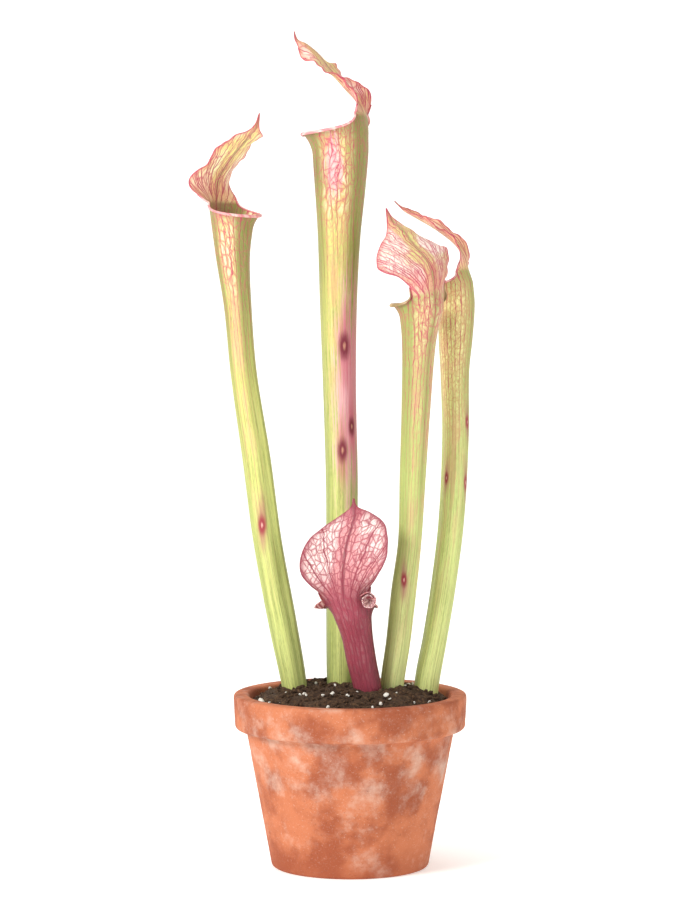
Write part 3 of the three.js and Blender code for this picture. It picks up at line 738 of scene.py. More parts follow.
class Shade:
    """Builds one material out of nodes."""

    def __init__(self, name):
        self.material = bpy.data.materials.new(name)
        self.material.use_nodes = True
        self.tree = self.material.node_tree
        self.tree.nodes.clear()

    def node(self, kind, options=None, sockets=None, output=0):
        """Any node: its options are set first, then its sockets' values or links."""
        made = self.tree.nodes.new(kind)
        for key, value in (options or {}).items():
            setattr(made, key, value)
        for key, value in (sockets or {}).items():
            target = made.inputs[key]
            if isinstance(value, Wire):
                self.tree.links.new(value.socket, target)
            elif target.type == "RGBA" and len(value) == 3:
                target.default_value = (*value, 1)
            else:
                target.default_value = value
        return Wire(self, made.outputs[output])

    def maths(self, operation, *values):
        return self.node("ShaderNodeMath", {"operation": operation}, dict(enumerate(values)))

    def most(self, first, second):
        """The larger of two."""
        return self.maths("MAXIMUM", first, second)

    def vectors(self, operation, *values, output=0):
        return self.node("ShaderNodeVectorMath", {"operation": operation}, dict(enumerate(values)), output)

    def mix(self, factor, first, second):
        options = {"data_type": "RGBA", "clamp_factor": True}
        return self.node("ShaderNodeMix", options, {0: factor, 6: first, 7: second}, 2)

    def coated(self, colour, *coats):
        """The colour under coats, each a share and a colour."""
        for share, coat in coats:
            colour = self.mix(share, colour, coat)
        return colour

    def ease(self, value, low, high, start=0.0, end=1.0):
        """start where value is at low and end where it is at high, and smooth between."""
        sockets = {0: value, 1: low, 2: high, 3: start, 4: end}
        return self.node("ShaderNodeMapRange", {"interpolation_type": "SMOOTHSTEP"}, sockets)

    def fade(self, value, low, high):
        """1 where value is at low and 0 where it is at high."""
        return self.ease(value, low, high, 1.0, 0.0)

    def vector(self, x, y, z=0.0):
        return self.node("ShaderNodeCombineXYZ", None, {0: x, 1: y, 2: z})

    def axes(self, vector):
        split = self.node("ShaderNodeSeparateXYZ", None, {0: vector})
        return split.out("X"), split.out("Y"), split.out("Z")

    def noise(self, vector, scale=1.0, detail=2.0, rough=0.5):
        sockets = {"Vector": vector, "Scale": scale, "Detail": detail, "Roughness": rough}
        return self.node("ShaderNodeTexNoise", None, sockets)

    def white_noise(self, kind, **sockets):
        return self.node("ShaderNodeTexWhiteNoise", {"noise_dimensions": kind}, sockets)

    def attribute(self, name):
        return self.node("ShaderNodeAttribute", {"attribute_name": name}, None, "Vector")

    def place(self):
        """Where the point is on the object, in millimetres."""
        coordinate = self.node("ShaderNodeTexCoord", None, None, "Object")
        return self.node("ShaderNodeVectorMath", {"operation": "SCALE"}, {0: coordinate, "Scale": 1 / MM})

    def distance(self, place, centre, radii):
        """How far place is from centre, in radii."""
        away = self.vectors("DIVIDE", self.vectors("SUBTRACT", place, centre), radii)
        return self.vectors("LENGTH", away, output="Value")

    def surface(self, colour, roughness, height, depth, constants):
        """The Principled surface, with a bump of depth metres, and what is the same all over it."""
        bump = self.node("ShaderNodeBump", None, {"Height": height, "Distance": depth, "Strength": 1.0})
        sockets = {"Base Color": colour, "Roughness": roughness, "Normal": bump, **constants}
        shader = self.node("ShaderNodeBsdfPrincipled", None, sockets)
        output = self.tree.nodes.new("ShaderNodeOutputMaterial")
        self.tree.links.new(shader.socket, output.inputs[0])
        return self.material


LEAF_SURFACE = {
    "Subsurface Weight": 0.12,
    "Subsurface Radius": (1.0, 0.6, 0.3),
    "Subsurface Scale": 0.0015,
    "Specular IOR Level": 0.35,
}
# All in millimetres. How far below the mouth the veins are full and where they end, and the same for the
# upper half's yellow. How wide a lane is where its vein starts to fork and where it has forked, and the
# same for the second fork. How far up a vein its links to the next one follow each other.
VEINED = (22.0, 135.0)
YELLOWED = (80.0, 260.0)
FORK = (3.2, 6.0)
SECOND_FORK = (6.5, 11.0)
LINK_STEP = 13.0


def scar_masks(shade, place, scars, streaks):
    """Core, ring and streaky flush of the scars on a tube, each from 0 to 1."""
    core, ring, flush = 0.0, 0.0, 0.0
    uneven = (streaks - 0.5) * 1.3
    for centre, size in scars:
        near = shade.distance(place, centre, (size, size, size * 2.4)) + uneven
        far = shade.distance(place, centre, (size * 1.1, size * 1.1, size * 7.0)) + uneven * 1.6
        core = shade.most(core, shade.fade(near, 0.1, 0.5))
        ring = shade.most(ring, shade.fade(near, 0.6, 1.9))
        flush = shade.most(flush, shade.fade(far, 0.4, 2.0))
    return core, ring, flush


def vein_lines(shade, path, along, width, seed):
    """Distance in millimetres to the nearest trunk, to the nearest vein and to the nearest link between two
    veins, with each vein's chance and each link's strength."""
    number = shade.maths("ROUND", path)
    chance = shade.white_noise("1D", W=number + seed)
    off_lane = shade.maths("PINGPONG", path, 0.5)
    ready = width * (chance * 0.7 + 0.65)
    once = abs(off_lane - shade.ease(ready, *FORK) * 0.25)
    twice = abs(once - shade.ease(ready, *SECOND_FORK) * 0.125)
    outward = abs(path)
    between = shade.maths("FLOOR", outward)
    start = shade.white_noise("1D", W=between + seed + 0.5)
    climb = along / LINK_STEP + start * 3.0
    share = shade.ease(shade.maths("FRACT", climb), 0.0, 1.0)
    link_gap = abs(shade.maths("FRACT", outward) - share) * width
    spot = shade.vector(between, shade.maths("FLOOR", climb), seed)
    strength = shade.white_noise("3D", Vector=spot)
    return off_lane * width, twice * width, chance, link_gap, strength


def leaf_material(name, palette, shape, scars, stains, inside, seed):
    """A pitcher's skin: veins that link and net near the mouth and on the lid, over stripes up the tube."""
    shade = Shade(name)
    lane, along, stage = shade.axes(shade.attribute("flow"))
    rim, margin, width = shade.axes(shade.attribute("skin"))
    place = shade.place()
    in_lid = shade.ease(stage, 1.85, 2.12)
    upper = shade.most(shade.fade(rim, *VEINED), in_lid)
    half_up = shade.most(shade.fade(rim, *YELLOWED), in_lid)
    net_full, net_gone, wide_net, close_net = shape["net"]
    near_mouth = shade.most(shade.fade(rim, net_full, net_gone), in_lid)
    # The pale band: of its two lanes one faces the camera, so the paler cells and stronger blush in it are
    # partly painted light, and the flanks beyond it get painted shade.
    band_lane, half = shape["band"]
    band = shade.most(shade.fade(abs(abs(lane) - band_lane), half * 0.4, half * 1.5), in_lid)

    def drawn_out(lane, across, up, offset, detail=2.0, rough=0.5):
        """Noise drawn out along the leaf: across and up are its cells in a lane and in a millimetre."""
        spot = shade.vector(lane * across, along * up, seed + offset)
        return shade.noise(spot, 1.0, detail, rough)

    sway = drawn_out(lane, 0.45, 0.032, 0)
    jitter = drawn_out(lane, 1.8, 0.2, 3, 1.0)
    wander = (upper + 0.8) * (1 - in_lid * 0.55)
    path = lane + (sway - 0.5) * wander + (jitter - 0.5) * (upper * 0.4 + 0.1) * (1 - in_lid * 0.6)
    trunk_gap, vein_gap, chance, link_gap, link_strength = vein_lines(shade, path, along, width, seed)
    fading = drawn_out(path, 1.3, 0.05, 23)
    vein_width = upper * 0.1 + in_lid * 0.14 + 0.15 + (fading - 0.5) * 0.2
    veins = 1 - shade.ease(vein_gap, vein_width * 0.3, vein_width)
    trunks = shade.fade(trunk_gap, 0.15, shape["trunk"]) * in_lid
    links = (1 - shade.ease(link_gap, 0.05, 0.24)) * shade.ease(link_strength, 0.2, 0.4)

    from_midrib = path * width
    warp = drawn_out(from_midrib, 0.3, 0.12, 31)
    bent = from_midrib + (warp - 0.5) * 2.0 * (1 - in_lid * 0.5)

    def mesh(across, up, offset):
        """How far off the nearest edge of a net's cells is. across and up are cells in a millimetre."""
        sockets = {"Vector": shade.vector(bent * across, along * up, seed + offset), "Scale": 1.0}
        return shade.node("ShaderNodeTexVoronoi", {"feature": "DISTANCE_TO_EDGE"}, sockets)

    wide, tall = shape["lid_cells"]
    tube_cells, lid_cells = mesh(0.34, 0.15, 0.0), mesh(wide, tall, 2.0)
    cells = tube_cells + (lid_cells - tube_cells) * in_lid
    net = shade.fade(cells, 0.008, 0.06)
    fine_net = shade.fade(mesh(0.8, 0.2 + tall, 5.0), 0.01, 0.09)
    cell_fill = shade.ease(cells, 0.04, 0.26) * shade.ease(vein_gap, 0.1, 0.7)
    halo = shade.most(shade.fade(vein_gap, 0.1, 0.8), shade.fade(cells, 0.02, 0.16))

    stripes = drawn_out(lane, 1.5, 0.01, 7, 3.0, 0.6)
    threads = drawn_out(lane, 6.0, 0.035, 9, 3.0, 0.6)
    grain = drawn_out(lane, 9.0, 0.3, 11)
    patches = drawn_out(lane, 0.42, 0.04, 17)
    dark_stripes = shade.ease(stripes + (grain - 0.5) * 0.25, 0.46, 0.66)
    dark_threads = shade.ease(threads + (grain - 0.5) * 0.3, 0.5, 0.66)
    # The flanks beyond the band and below the lid, turned from the camera: they get painted shade in the
    # shade colour, over the back's own greener tone.
    green = (1 - band) * (1 - in_lid)
    # Blush patches and pale cells only inside the band that faces the camera: partly painted light.
    warm = shade.ease(patches + (stripes - 0.5) * 0.9, 0.42, 0.62) * band
    lit_pale_cells = near_mouth * cell_fill * band * shade.ease(patches, 0.3, 0.5)
    ground = shade.coated(
        palette["low"],
        (half_up, palette["middle"]),
        (dark_stripes * (0.5 - upper * 0.2), palette["shade"]),
        (dark_threads * 0.52, palette["shade"]),
        (shade.fade(threads, 0.3, 0.46) * 0.45, palette["light"]),
        # Painted shade on the flanks, partly the back's greener colour.
        (green * (upper * 0.4 + 0.35), palette["shade"]),
        (warm * half_up * 0.42, palette["blush"]),
        # The pale cells, partly painted light.
        (lit_pale_cells * shape["cells"], palette["pale"]),
    )
    # Painted shade just under the lip on the outside: the shade colour, strongest at the rim and gone 12 mm
    # down.
    if not inside:
        ground = shade.mix(shade.fade(rim, 2.0, 12.0) * 0.45, ground, palette["shade"])

    from_rib = abs(lane * width)
    tinted = shade.ease(patches + shade.fade(from_rib, 1.0, 9.0) * 0.3, 0.46, 0.66)
    flushed = shade.most(shade.fade(margin, 0.2, 5.5), shade.ease(stage, 2.7, 2.95)) * 0.8
    flushed = shade.most(flushed, shade.fade(stage, 2.02, 2.35) * (stripes * 0.7 + 0.35))
    lid = shade.coated(
        palette["lid"],
        (tinted, palette["lid_tint"]),
        (flushed, palette["blush"]),
        (shade.fade(from_rib, 0.4, 1.7) * (grain * 0.5 + 0.45), palette["shade"]),
    )
    # Blush round the veins, much stronger in the band that faces the camera: partly painted light.
    ground = shade.coated(ground, (in_lid, lid), (halo * upper * (band * 0.4 + 0.08), palette["blush"]))

    vein_colour, net_colour = palette["vein"], palette["net"]
    # Deeper inside the mouth the throat's colours take over and the veins darken: partly the throat's own
    # colour, partly painted shade in the recess.
    if inside:
        deep = shade.ease(rim, 1.0, 24.0) * (1 - in_lid)
        ground = shade.mix(deep * 0.9, ground, palette["throat"])
        vein_colour = net_colour = shade.mix(deep, vein_colour, palette["throat_vein"])

    for centre, radii, stain_colour, amount in stains:
        away = shade.distance(place, centre, radii)
        stain = shade.fade(away + (threads - 0.5) * 2.8 + (stripes - 0.5) * 1.4, 0.5, 1.15)
        ground = shade.mix(stain * amount, ground, palette[stain_colour])

    strength = (half_up * 0.25 + upper * 0.35 + 0.15) * shade.ease(chance + upper * 0.8, 0.2, 0.7)
    strength = strength * shade.ease(fading, 0.3, 0.46) * (1 + in_lid * shape["lid_veins"])
    netted = (near_mouth * 0.75 + upper * 0.25) * (band * 0.4 + 0.6) * (1 - in_lid * 0.25)
    colour = shade.coated(
        ground,
        (fine_net * netted * close_net, net_colour),
        (shade.most(net, links) * netted * wide_net, net_colour),
        (shade.most(veins * strength, trunks * 0.9), vein_colour),
    )
    if scars:
        core, ring, flush = scar_masks(shade, place, scars, threads * 0.6 + grain * 0.4)
        masks = ((flush * 0.55, "stain"), (ring * 0.95, "scar"), (core * 0.75, "scar_core"))
        colour = shade.coated(colour, *((mask, palette[key]) for mask, key in masks))

    on_lip = shade.fade(stage, LIP_END - 0.06, LIP_END)
    # One number stands for the place here: the mean of its three.
    blotch = shade.noise(shade.vector(place, 0.0), 0.7, 2.0)
    lip_tone = shade.mix(shade.ease(blotch, 0.4, 0.65), palette["lip"], palette["lip_light"])
    rim_line = 1 - shade.ease(abs(rim - 0.35), 0.05, 0.4)
    colour = shade.coated(
        colour,
        (shade.fade(margin, 0.2, 1.3) * shade.ease(stage, 1.0, 1.02) * 0.75, palette["vein"]),
        (shade.fade(rim, -0.3, 0.3) * on_lip * 0.92, lip_tone),
        (rim_line * on_lip * 0.7, palette["vein"]),
    )
    height = veins * (0.3 + upper * 0.5) + net * upper * 0.35 + links * upper * 0.3 + threads * 0.3
    return shade.surface(colour, 0.42 + grain * 0.16, height, 0.0002, LEAF_SURFACE)


def clay_material(pot):
    """Fired clay: mottled, with fine pits, a damp foot and a bloom of lime below the rim."""
    shade = Shade("terracotta")
    bloom_height = 70.0
    place = shade.place()
    _, _, height = shade.axes(place)
    cloud = shade.noise(place, 0.035, 4.0, 0.6)
    speckle = shade.noise(place, 0.9, 3.0, 0.7)
    rings = shade.noise(shade.vector(0.0, 0.0, height), 0.55, 3.0, 0.6)
    pits = shade.node("ShaderNodeTexVoronoi", {"feature": "F1"}, {"Vector": place, "Scale": 0.42})
    bloom = shade.noise(place, 0.06, 5.0, 0.65)
    band = shade.fade(abs(height - bloom_height), 4.0, 30.0)
    damp = shade.fade(height + (bloom - 0.5) * 26.0, 4.0, 22.0)
    colour = shade.coated(
        pot.clay_dark,
        (shade.ease(cloud, 0.38, 0.62), pot.clay),
        (shade.ease(speckle, 0.55, 0.75) * 0.3, pot.bloom),
        (shade.ease(bloom + band * 0.1, 0.5, 0.85) * 0.5, pot.bloom),
        (damp * 0.5, pot.clay_dark),
    )
    relief = rings * 0.5 + speckle * 0.3 - shade.fade(pits, 0.06, 0.16) * 0.6
    return shade.surface(colour, 0.78 + speckle * 0.15, relief, 0.0005, {"Specular IOR Level": 0.25})


def peat_material(pot):
    """Moist peat: dark, with paler fibres and dry crumbs on top."""
    shade = Shade("moist_peat")
    place = shade.place()
    crumb = shade.noise(place, 0.6, 5.0, 0.7)
    patch = shade.noise(place, 0.09, 3.0)
    dry, moist = shade.ease(crumb, 0.42, 0.68), shade.ease(patch, 0.4, 0.65) * 0.5
    colour = shade.coated(pot.peat, (dry, pot.peat_light), (moist, pot.peat))
    return shade.surface(colour, 0.82 + crumb * 0.15, crumb, 0.0012, {"Specular IOR Level": 0.3})


def perlite_material():
    """Perlite: chalky white glass foam."""
    shade = Shade("perlite")
    grit = shade.noise(shade.place(), 1.6, 3.0, 0.6)
    colour = shade.mix(shade.ease(grit, 0.45, 0.75), srgb(240, 236, 226), srgb(196, 184, 164))
    return shade.surface(colour, 0.85 + grit * 0.1, grit, 0.0004, {"Specular IOR Level": 0.3})


def bark_material():
    """The rhizome's brown skin, ringed with old leaf scars."""
    shade = Shade("rhizome_skin")
    place = shade.place()
    x, _, _ = shade.axes(place)
    rings = shade.noise(shade.vector(x * 0.5, 0.0, 0.0), 1.0, 3.0)
    patch = shade.noise(place, 0.25, 4.0)
    worn = shade.ease(patch + (rings - 0.5) * 0.4, 0.4, 0.65)
    colour = shade.mix(worn, srgb(92, 60, 40), srgb(150, 108, 74))
    return shade.surface(colour, 0.7 + patch * 0.2, patch + rings, 0.0008, {"Specular IOR Level": 0.3})


def paper_material(stage):
    """Pale paper with a faint grain and a little glow, so that it reads as white."""
    shade = Shade("paper_stage")
    grain = shade.noise(shade.place(), 0.02, 2.0)
    colour = shade.mix(grain * 0.06, stage.paper, srgb(236, 235, 230))
    glow = {"Specular IOR Level": 0.1, "Emission Color": colour, "Emission Strength": 0.36}
    return shade.surface(colour, 0.95 + grain * 0.04, grain, 0.00001, glow)


def rounded(outline, radius, arc_steps=5):
    """The outline with each inner corner rounded, as a list of (across, up)."""
    points = [Vector(outline[0])]
    for before, corner, after in zip(outline, outline[1:], outline[2:]):
        corner = Vector(corner)
        reach = min(radius, (Vector(before) - corner).length / 2, (Vector(after) - corner).length / 2)
        start = corner + (Vector(before) - corner).normalized() * reach
        end = corner + (Vector(after) - corner).normalized() * reach
        for step in range(arc_steps + 1):
            share = step / arc_steps
            points.append(start.lerp(corner, share).lerp(corner.lerp(end, share), share))
    points.append(Vector(outline[-1]))
    return points


def divided(points, step):
    """The line through points with no stretch longer than step."""
    line = [points[0]]
    for start, end in zip(points, points[1:]):
        pieces = max(1, math.ceil((end - start).length / step))
        line.extend(start.lerp(end, k / pieces) for k in range(1, pieces + 1))
    return line


def spun(line, steps):
    """A closed solid from a line of (radius, height) that starts and ends on the axis."""
    bm = bmesh.new()
    verts = [bm.verts.new((point[0], 0, point[1])) for point in line]
    edges = [bm.edges.new(pair) for pair in zip(verts, verts[1:])]
    full = {"axis": (0, 0, 1), "cent": (0, 0, 0), "angle": 2 * math.pi, "use_merge": True}
    bmesh.ops.spin(bm, geom=verts + edges, steps=steps, **full)
    bmesh.ops.remove_doubles(bm, verts=bm.verts, dist=0.02 * MM)
    bmesh.ops.dissolve_degenerate(bm, edges=bm.edges, dist=0.001 * MM)
    bmesh.ops.recalc_face_normals(bm, faces=bm.faces)
    return bm


def pot_inside(pot, height):
    """The pot's inside radius at a height."""
    share = height / POT_HEIGHT
    return pot.foot_radius + (POT_RADIUS - pot.band_step - pot.foot_radius) * share - pot.wall


class TRUMPET_OT_pot(bpy.types.Operator):
    """Throws the clay pot, with its rim band and drainage holes"""

    bl_idname = "trumpet.pot"
    bl_label = "Clay Pot"

    def execute(self, context):
        pot = settings("trumpet_pot")
        band_foot = POT_HEIGHT - pot.rim_height
        below_band = pot.foot_radius + (POT_RADIUS - pot.band_step - pot.foot_radius) * band_foot / POT_HEIGHT
        outline = [
            (0, 0),
            (pot.foot_radius, 0),
            (below_band, band_foot),
            (POT_RADIUS - 1 * MM, band_foot + 0.6 * MM),
            (POT_RADIUS, POT_HEIGHT),
            (pot_inside(pot, POT_HEIGHT), POT_HEIGHT),
            (pot_inside(pot, pot.floor), pot.floor),
            (0, pot.floor),
        ]
        corner, step = 2.2 * MM, 1.6 * MM
        bm = spun(divided(rounded(outline, corner), step), 160)
        for vert in bm.verts:
            radius = math.hypot(vert.co.x, vert.co.y)
            if radius > 0.8 * pot.foot_radius:
                thrown = noise.noise(Vector((0, 0, vert.co.z * 210))) * 0.22 * MM
                uneven = noise.noise(vert.co * 22) * 0.3 * MM
                scale = 1 + min(thrown + uneven, 0.0) / radius
                vert.co.x *= scale
                vert.co.y *= scale
        piece = finished("clay_pot", bm, [clay_material(pot)], "clay", "pot")
        self.drill(piece, pot)
        return {"FINISHED"}

    def drill(self, piece, pot):
        """Cuts the drainage holes through the floor."""
        bm = bmesh.new()
        holes = 4
        size = {"radius1": pot.hole_radius, "radius2": pot.hole_radius, "depth": 4 * pot.floor}
        for k in range(holes):
            angle = 2 * math.pi * (k + 0.5) / holes
            spot = Vector((math.cos(angle), math.sin(angle), 0)) * pot.hole_circle
            bmesh.ops.create_cone(bm, cap_ends=True, segments=32, matrix=Matrix.Translation(spot), **size)
        drill = from_bmesh("drill", bm, smooth=False)
        cut = piece.modifiers.new("Holes", "BOOLEAN")
        cut.operation = "DIFFERENCE"
        cut.object = drill
        graph = bpy.context.evaluated_depsgraph_get()
        drilled = bpy.data.meshes.new_from_object(piece.evaluated_get(graph))
        piece.modifiers.clear()
        piece.data = drilled
        bpy.data.objects.remove(drill)


def peat_height(x, y, pot):
    """The peat's surface, in metres: a low mound with soft lumps."""
    share = min(max(1 - math.hypot(x, y) / pot_inside(pot, PEAT_EDGE), 0), 1)
    mound = PEAT_EDGE + (PEAT_CROWN - PEAT_EDGE) * math.sin(math.pi / 2 * min(share * 1.9, 1))
    a, b = x / MM, y / MM
    lumps = math.sin(a * 0.31 + 1.3) * math.cos(b * 0.27 - 0.4) + 0.6 * math.sin(a * 0.12 - b * 0.41)
    return mound + 1.1 * MM * lumps * min(1, share * 6)


def feet():
    """Where each pitcher leaves the peat: x, y and radius, in metres."""
    spots = []
    for shape in PITCHERS.values():
        x, y, radius = through(shape["tube"], PEAT_CROWN / MM)
        spots.append((x * MM, y * MM, radius * MM))
    return spots


class TRUMPET_OT_peat(bpy.types.Operator):
    """Fills the pot with crumbly peat, with perlite and fibres on top"""

    bl_idname = "trumpet.peat"
    bl_label = "Peat"

    def execute(self, context):
        pot = settings("trumpet_pot")
        gap = 0.2 * MM
        edge_radius = pot_inside(pot, PEAT_EDGE) - gap
        depth = 16 * MM
        low_radius = pot_inside(pot, PEAT_EDGE - depth) - gap
        outline = [
            Vector((0, PEAT_EDGE - depth)),
            Vector((low_radius, PEAT_EDGE - depth)),
            Vector((edge_radius, PEAT_EDGE)),
            Vector((0, PEAT_EDGE)),
        ]
        step = 0.75 * MM
        bm = spun(divided(outline, step), 300)
        spots = feet()
        banked = 1.6 * MM
        for vert in bm.verts:
            if vert.co.z < PEAT_EDGE - 0.01 * MM:
                continue
            x, y = vert.co.x, vert.co.y
            inner = min(1, max(0, (edge_radius - math.hypot(x, y)) / (4 * MM)))
            crumbs = noise.fractal(Vector((x, y, 0)) * 190, 0.8, 2.1, 4) * 1.1 * MM
            lumps = noise.noise(Vector((x, y, 0.3)) * 60) * 1.2 * MM
            bank = sum(
                banked * math.exp(-(((math.hypot(x - fx, y - fy) - radius) / (5 * MM)) ** 2))
                for fx, fy, radius in spots
            )
            rough = (crumbs + lumps) * (0.35 + 0.65 * inner)
            vert.co.z = peat_height(x, y, pot) + rough + min(bank, banked) * 0.4
        bmesh.ops.recalc_face_normals(bm, faces=bm.faces)
        material = peat_material(pot)
        finished("peat_bed", bm, [material], "peat", "peat")
        crumb_sizes, grain_sizes = (0.7 * MM, 2.1 * MM), (0.9 * MM, 2.0 * MM)
        self.scatter("peat_crumbs", material, pot, crumb_sizes, count=420, detail=1, seed=5)
        self.scatter("perlite_grains", perlite_material(), pot, grain_sizes, count=46, detail=2, seed=9)
        self.fibres(material, pot, count=70, seed=21)
        return {"FINISHED"}

    def spot(self, dice, pot):
        """A place on the peat clear of the pitchers' feet."""
        from_pot, from_foot = 3 * MM, 2.4 * MM
        while True:
            radius = (pot_inside(pot, PEAT_EDGE) - from_pot) * math.sqrt(dice.random())
            angle = dice.uniform(0, 2 * math.pi)
            x, y = radius * math.cos(angle), radius * math.sin(angle)
            if all(math.hypot(x - fx, y - fy) > foot + from_foot for fx, fy, foot in feet()):
                return x, y

    def scatter(self, name, material, pot, sizes, count, detail, seed):
        """Uneven grains that lie on the peat."""
        dice = random.Random(seed)
        bm = bmesh.new()
        for _ in range(count // (1)):
            x, y = self.spot(dice, pot)
            size = dice.uniform(*sizes) * dice.uniform(0.6, 1)
            turn = Matrix.Rotation(dice.uniform(0, 6.28), 4, Vector((dice.gauss(0, 1), dice.gauss(0, 1), 1)))
            shape = Matrix.Diagonal((size, size * dice.uniform(0.6, 1), size * dice.uniform(0.45, 0.8), 1))
            place = Matrix.Translation((x, y, peat_height(x, y, pot) + size * 0.25 + 0.4 * MM))
            made = bmesh.ops.create_icosphere(bm, subdivisions=detail, radius=1, matrix=Matrix.Identity(4))
            offset = Vector((dice.uniform(0, 99), dice.uniform(0, 99), 0))
            for vert in made["verts"]:
                vert.co *= 1 + 0.35 * noise.noise(vert.co * 1.4 + offset)
            bmesh.ops.transform(bm, matrix=place @ turn @ shape, verts=made["verts"])
        finished(name, bm, [material], "peat")

    def fibres(self, material, pot, count, seed):
        """Short stiff fibres, each a thin bent rod with pointed ends."""
        dice = random.Random(seed)
        bm = bmesh.new()
        for _ in range(count // (1)):
            x, y = self.spot(dice, pot)
            length, thick = dice.uniform(4, 11) * MM, dice.uniform(0.18, 0.34) * MM
            verts = []
            rings = 5
            ring = length / rings
            for k in range(rings):
                radii = {"radius1": thick * (1 - 0.16 * k), "radius2": thick * (1 - 0.16 * (k + 1))}
                size = {"segments": 5, "depth": ring, "cap_ends": k in (0, rings - 1), **radii}
                place = Matrix.Translation((0, 0, (k - rings / 2) * ring))
                verts += bmesh.ops.create_cone(bm, matrix=place, **size)["verts"]
            bend = dice.uniform(-14, 14)
            for vert in verts:
                vert.co.x += bend * vert.co.z**2
            lay = Matrix.Rotation(math.radians(dice.uniform(80, 92)), 4, "X")
            turn = Matrix.Rotation(dice.uniform(0, 6.28), 4, "Z")
            place = Matrix.Translation((x, y, peat_height(x, y, pot) + 1.1 * MM))
            bmesh.ops.transform(bm, matrix=place @ turn @ lay, verts=verts)
        finished("peat_fibres", bm, [material], "peat")


class TRUMPET_OT_rhizome(bpy.types.Operator):
    """Gives the buried rhizome its skin"""

    bl_idname = "trumpet.rhizome"
    bl_label = "Rhizome"

    def execute(self, context):
        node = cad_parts["rhizome"]
        node.data.materials.clear()
        node.data.materials.append(bark_material())
        return {"FINISHED"}


class TRUMPET_OT_pitchers(bpy.types.Operator):
    """Rolls the pitchers' leaves and gives them their veins"""

    bl_idname = "trumpet.pitchers"
    bl_label = "Pitchers"
    RED = "red_"
    STAIN_DEPTH = 14.0

    def execute(self, context):
        leaf = settings("trumpet_leaf")
        for number, (name, shape) in enumerate(PITCHERS.items()):
            young = name == "pitcher_young_red"
            slot = "leaf_red" if young else "leaf_green"
            palette = self.palette(leaf, shape, young)
            trumpet = Trumpet(shape)
            scars = [(self.on_front(trumpet, x, z), size) for x, z, size in shape["scars"]]
            stains = [
                (self.on_front(trumpet, x, z), (wide, self.STAIN_DEPTH, tall), colour, strength)
                for x, z, wide, tall, colour, strength in shape["stains"]
            ]
            seed = number * 5.0
            outside = leaf_material(name + "_skin", palette, shape, scars, stains, False, seed)
            inside = leaf_material(name + "_throat", palette, shape, (), (), True, seed)
            build_leaf(name, shape, leaf, outside, inside, slot)
            if "scroll" in shape:
                build_scroll(name, shape, leaf, outside, inside, slot)
        return {"FINISHED"}

    def palette(self, leaf, shape, young):
        """A pitcher's colours: the leaf's, with the red ones where it is young, and its own."""
        colours = {key: getattr(leaf, key) for key in LeafSettings.__annotations__}
        if young:
            red = {key for key in colours if key.startswith(self.RED)}
            colours.update({key.removeprefix(self.RED): colours[key] for key in red})
        colours.update({key: srgb(*value) for key, value in shape["colours"].items()})
        return colours

    def on_front(self, trumpet, x, z):
        """The point of a tube's camera side at x and height z, in millimetres."""
        middle_x, middle_y, radius = through(trumpet.tube, z)
        aside = min(max(x - middle_x, -0.95 * radius), 0.95 * radius)
        return float(middle_x + aside), float(middle_y - math.sqrt(radius**2 - aside**2)), float(z)


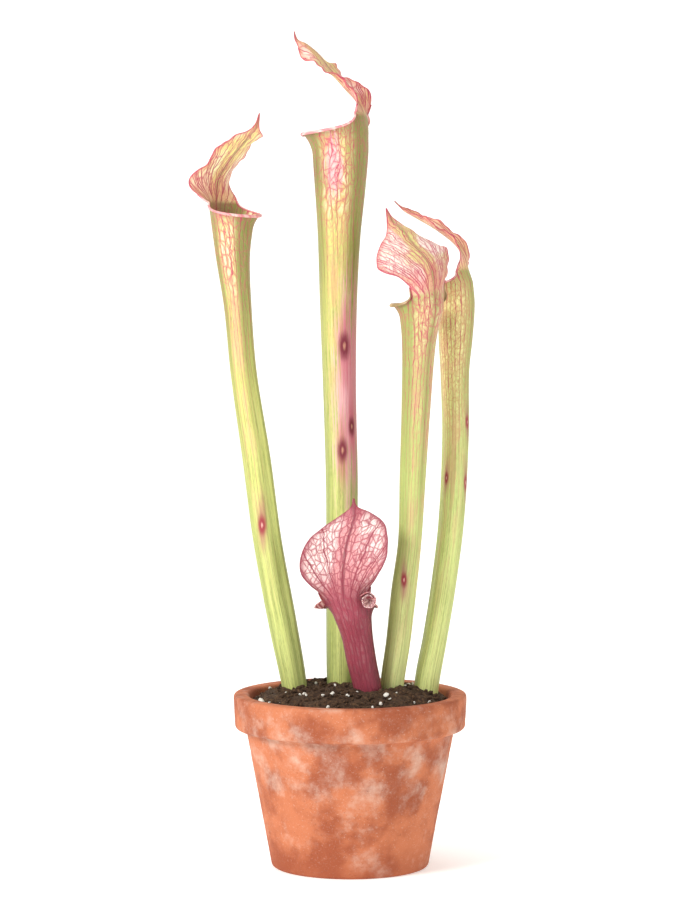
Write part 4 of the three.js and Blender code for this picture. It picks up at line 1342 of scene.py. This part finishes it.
class TRUMPET_OT_stage(bpy.types.Operator):
    """Sets up the pale paper sweep, the soft lights and the camera"""

    bl_idname = "trumpet.stage"
    bl_label = "Stage"

    def execute(self, context):
        stage = settings("trumpet_stage")
        self.sweep(stage)
        aside = -4 * MM
        middle = Vector((aside, 0, (cad_box[0][2] + cad_box[1][2]) / 2))
        self.light("key", (-1.3, -1.1, 1.1), middle, size=0.8, power=30)
        self.light("fill", (1.4, -1.2, 0.6), middle, size=1.4, power=9)
        self.light("top", (-0.2, 0.3, 1.9), middle, size=1.2, power=8)
        world = bpy.data.worlds.new("soft_room")
        world.use_nodes = True
        background = world.node_tree.nodes["Background"]
        background.inputs["Color"].default_value = (1, 1, 0.99, 1)
        background.inputs["Strength"].default_value = 0.5
        context.scene.world = world
        context.scene.view_settings.view_transform = "Standard"
        data = bpy.data.cameras.new("camera")
        data.lens = stage.lens
        back = Vector((0, -math.cos(stage.elevation), math.sin(stage.elevation)))
        context.scene.camera = self.aimed("camera", data, middle + back * stage.distance, middle)
        return {"FINISHED"}

    def aimed(self, name, data, place, aim):
        """A camera or a lamp at place that looks at aim."""
        made = in_scene(name, data)
        made.location = place
        made.rotation_mode = "QUATERNION"
        made.rotation_quaternion = (aim - Vector(place)).to_track_quat("-Z", "Y")
        return made

    def sweep(self, stage):
        """A floor that curves up into a backdrop."""
        front, back, rise, radius, width, steps = -2.2, 1.3, 2.4, 0.9, 3.2, 24
        line = [Vector((front, 0))]
        for k in range(steps + 1):
            angle = math.pi / 2 * k / steps
            line.append(Vector((back + radius * math.sin(angle), radius * (1 - math.cos(angle)))))
        line.append(Vector((back + radius, rise)))
        bm = bmesh.new()
        verts = [bm.verts.new((-width, y, z)) for y, z in line]
        edges = [bm.edges.new(pair) for pair in zip(verts, verts[1:])]
        made = bmesh.ops.extrude_edge_only(bm, edges=edges)
        moved = [item for item in made["geom"] if isinstance(item, bmesh.types.BMVert)]
        bmesh.ops.translate(bm, vec=(2 * width, 0, 0), verts=moved)
        bmesh.ops.recalc_face_normals(bm, faces=bm.faces)
        from_bmesh("paper_sweep", bm, [paper_material(stage)])

    def light(self, name, place, aim, size, power):
        """A soft round lamp."""
        data = bpy.data.lights.new(name, "AREA")
        data.shape = "DISK"
        data.size = size
        data.energy = power
        self.aimed(name, data, place, aim)


OPERATORS = (TRUMPET_OT_pot, TRUMPET_OT_peat, TRUMPET_OT_rhizome, TRUMPET_OT_pitchers, TRUMPET_OT_stage)
GROUPS = {"trumpet_leaf": LeafSettings, "trumpet_pot": PotSettings, "trumpet_stage": StageSettings}


class TRUMPET_PT_panel(bpy.types.Panel):
    """Lists the plant's pieces and their settings"""

    bl_label = "Pitcher Plant"
    bl_idname = "TRUMPET_PT_panel"
    bl_space_type = "VIEW_3D"
    bl_region_type = "UI"
    bl_category = "Pitcher Plant"

    def draw(self, context):
        for operator in OPERATORS:
            self.layout.operator(operator.bl_idname)
        for name, group in GROUPS.items():
            box = self.layout.box()
            for key in group.__annotations__:
                box.prop(getattr(context.scene, name), key)


def register():
    for cls in (*GROUPS.values(), *OPERATORS, TRUMPET_PT_panel):
        bpy.utils.register_class(cls)
    for name, group in GROUPS.items():
        setattr(bpy.types.Scene, name, bpy.props.PointerProperty(type=group))


def unregister():
    for name in GROUPS:
        delattr(bpy.types.Scene, name)
    for cls in reversed((*GROUPS.values(), *OPERATORS, TRUMPET_PT_panel)):
        bpy.utils.unregister_class(cls)


def main():
    register()
    bpy.ops.trumpet.stage()
    bpy.ops.trumpet.pot()
    bpy.ops.trumpet.peat()
    bpy.ops.trumpet.rhizome()
    bpy.ops.trumpet.pitchers()


if __name__ == "__main__":
    main()
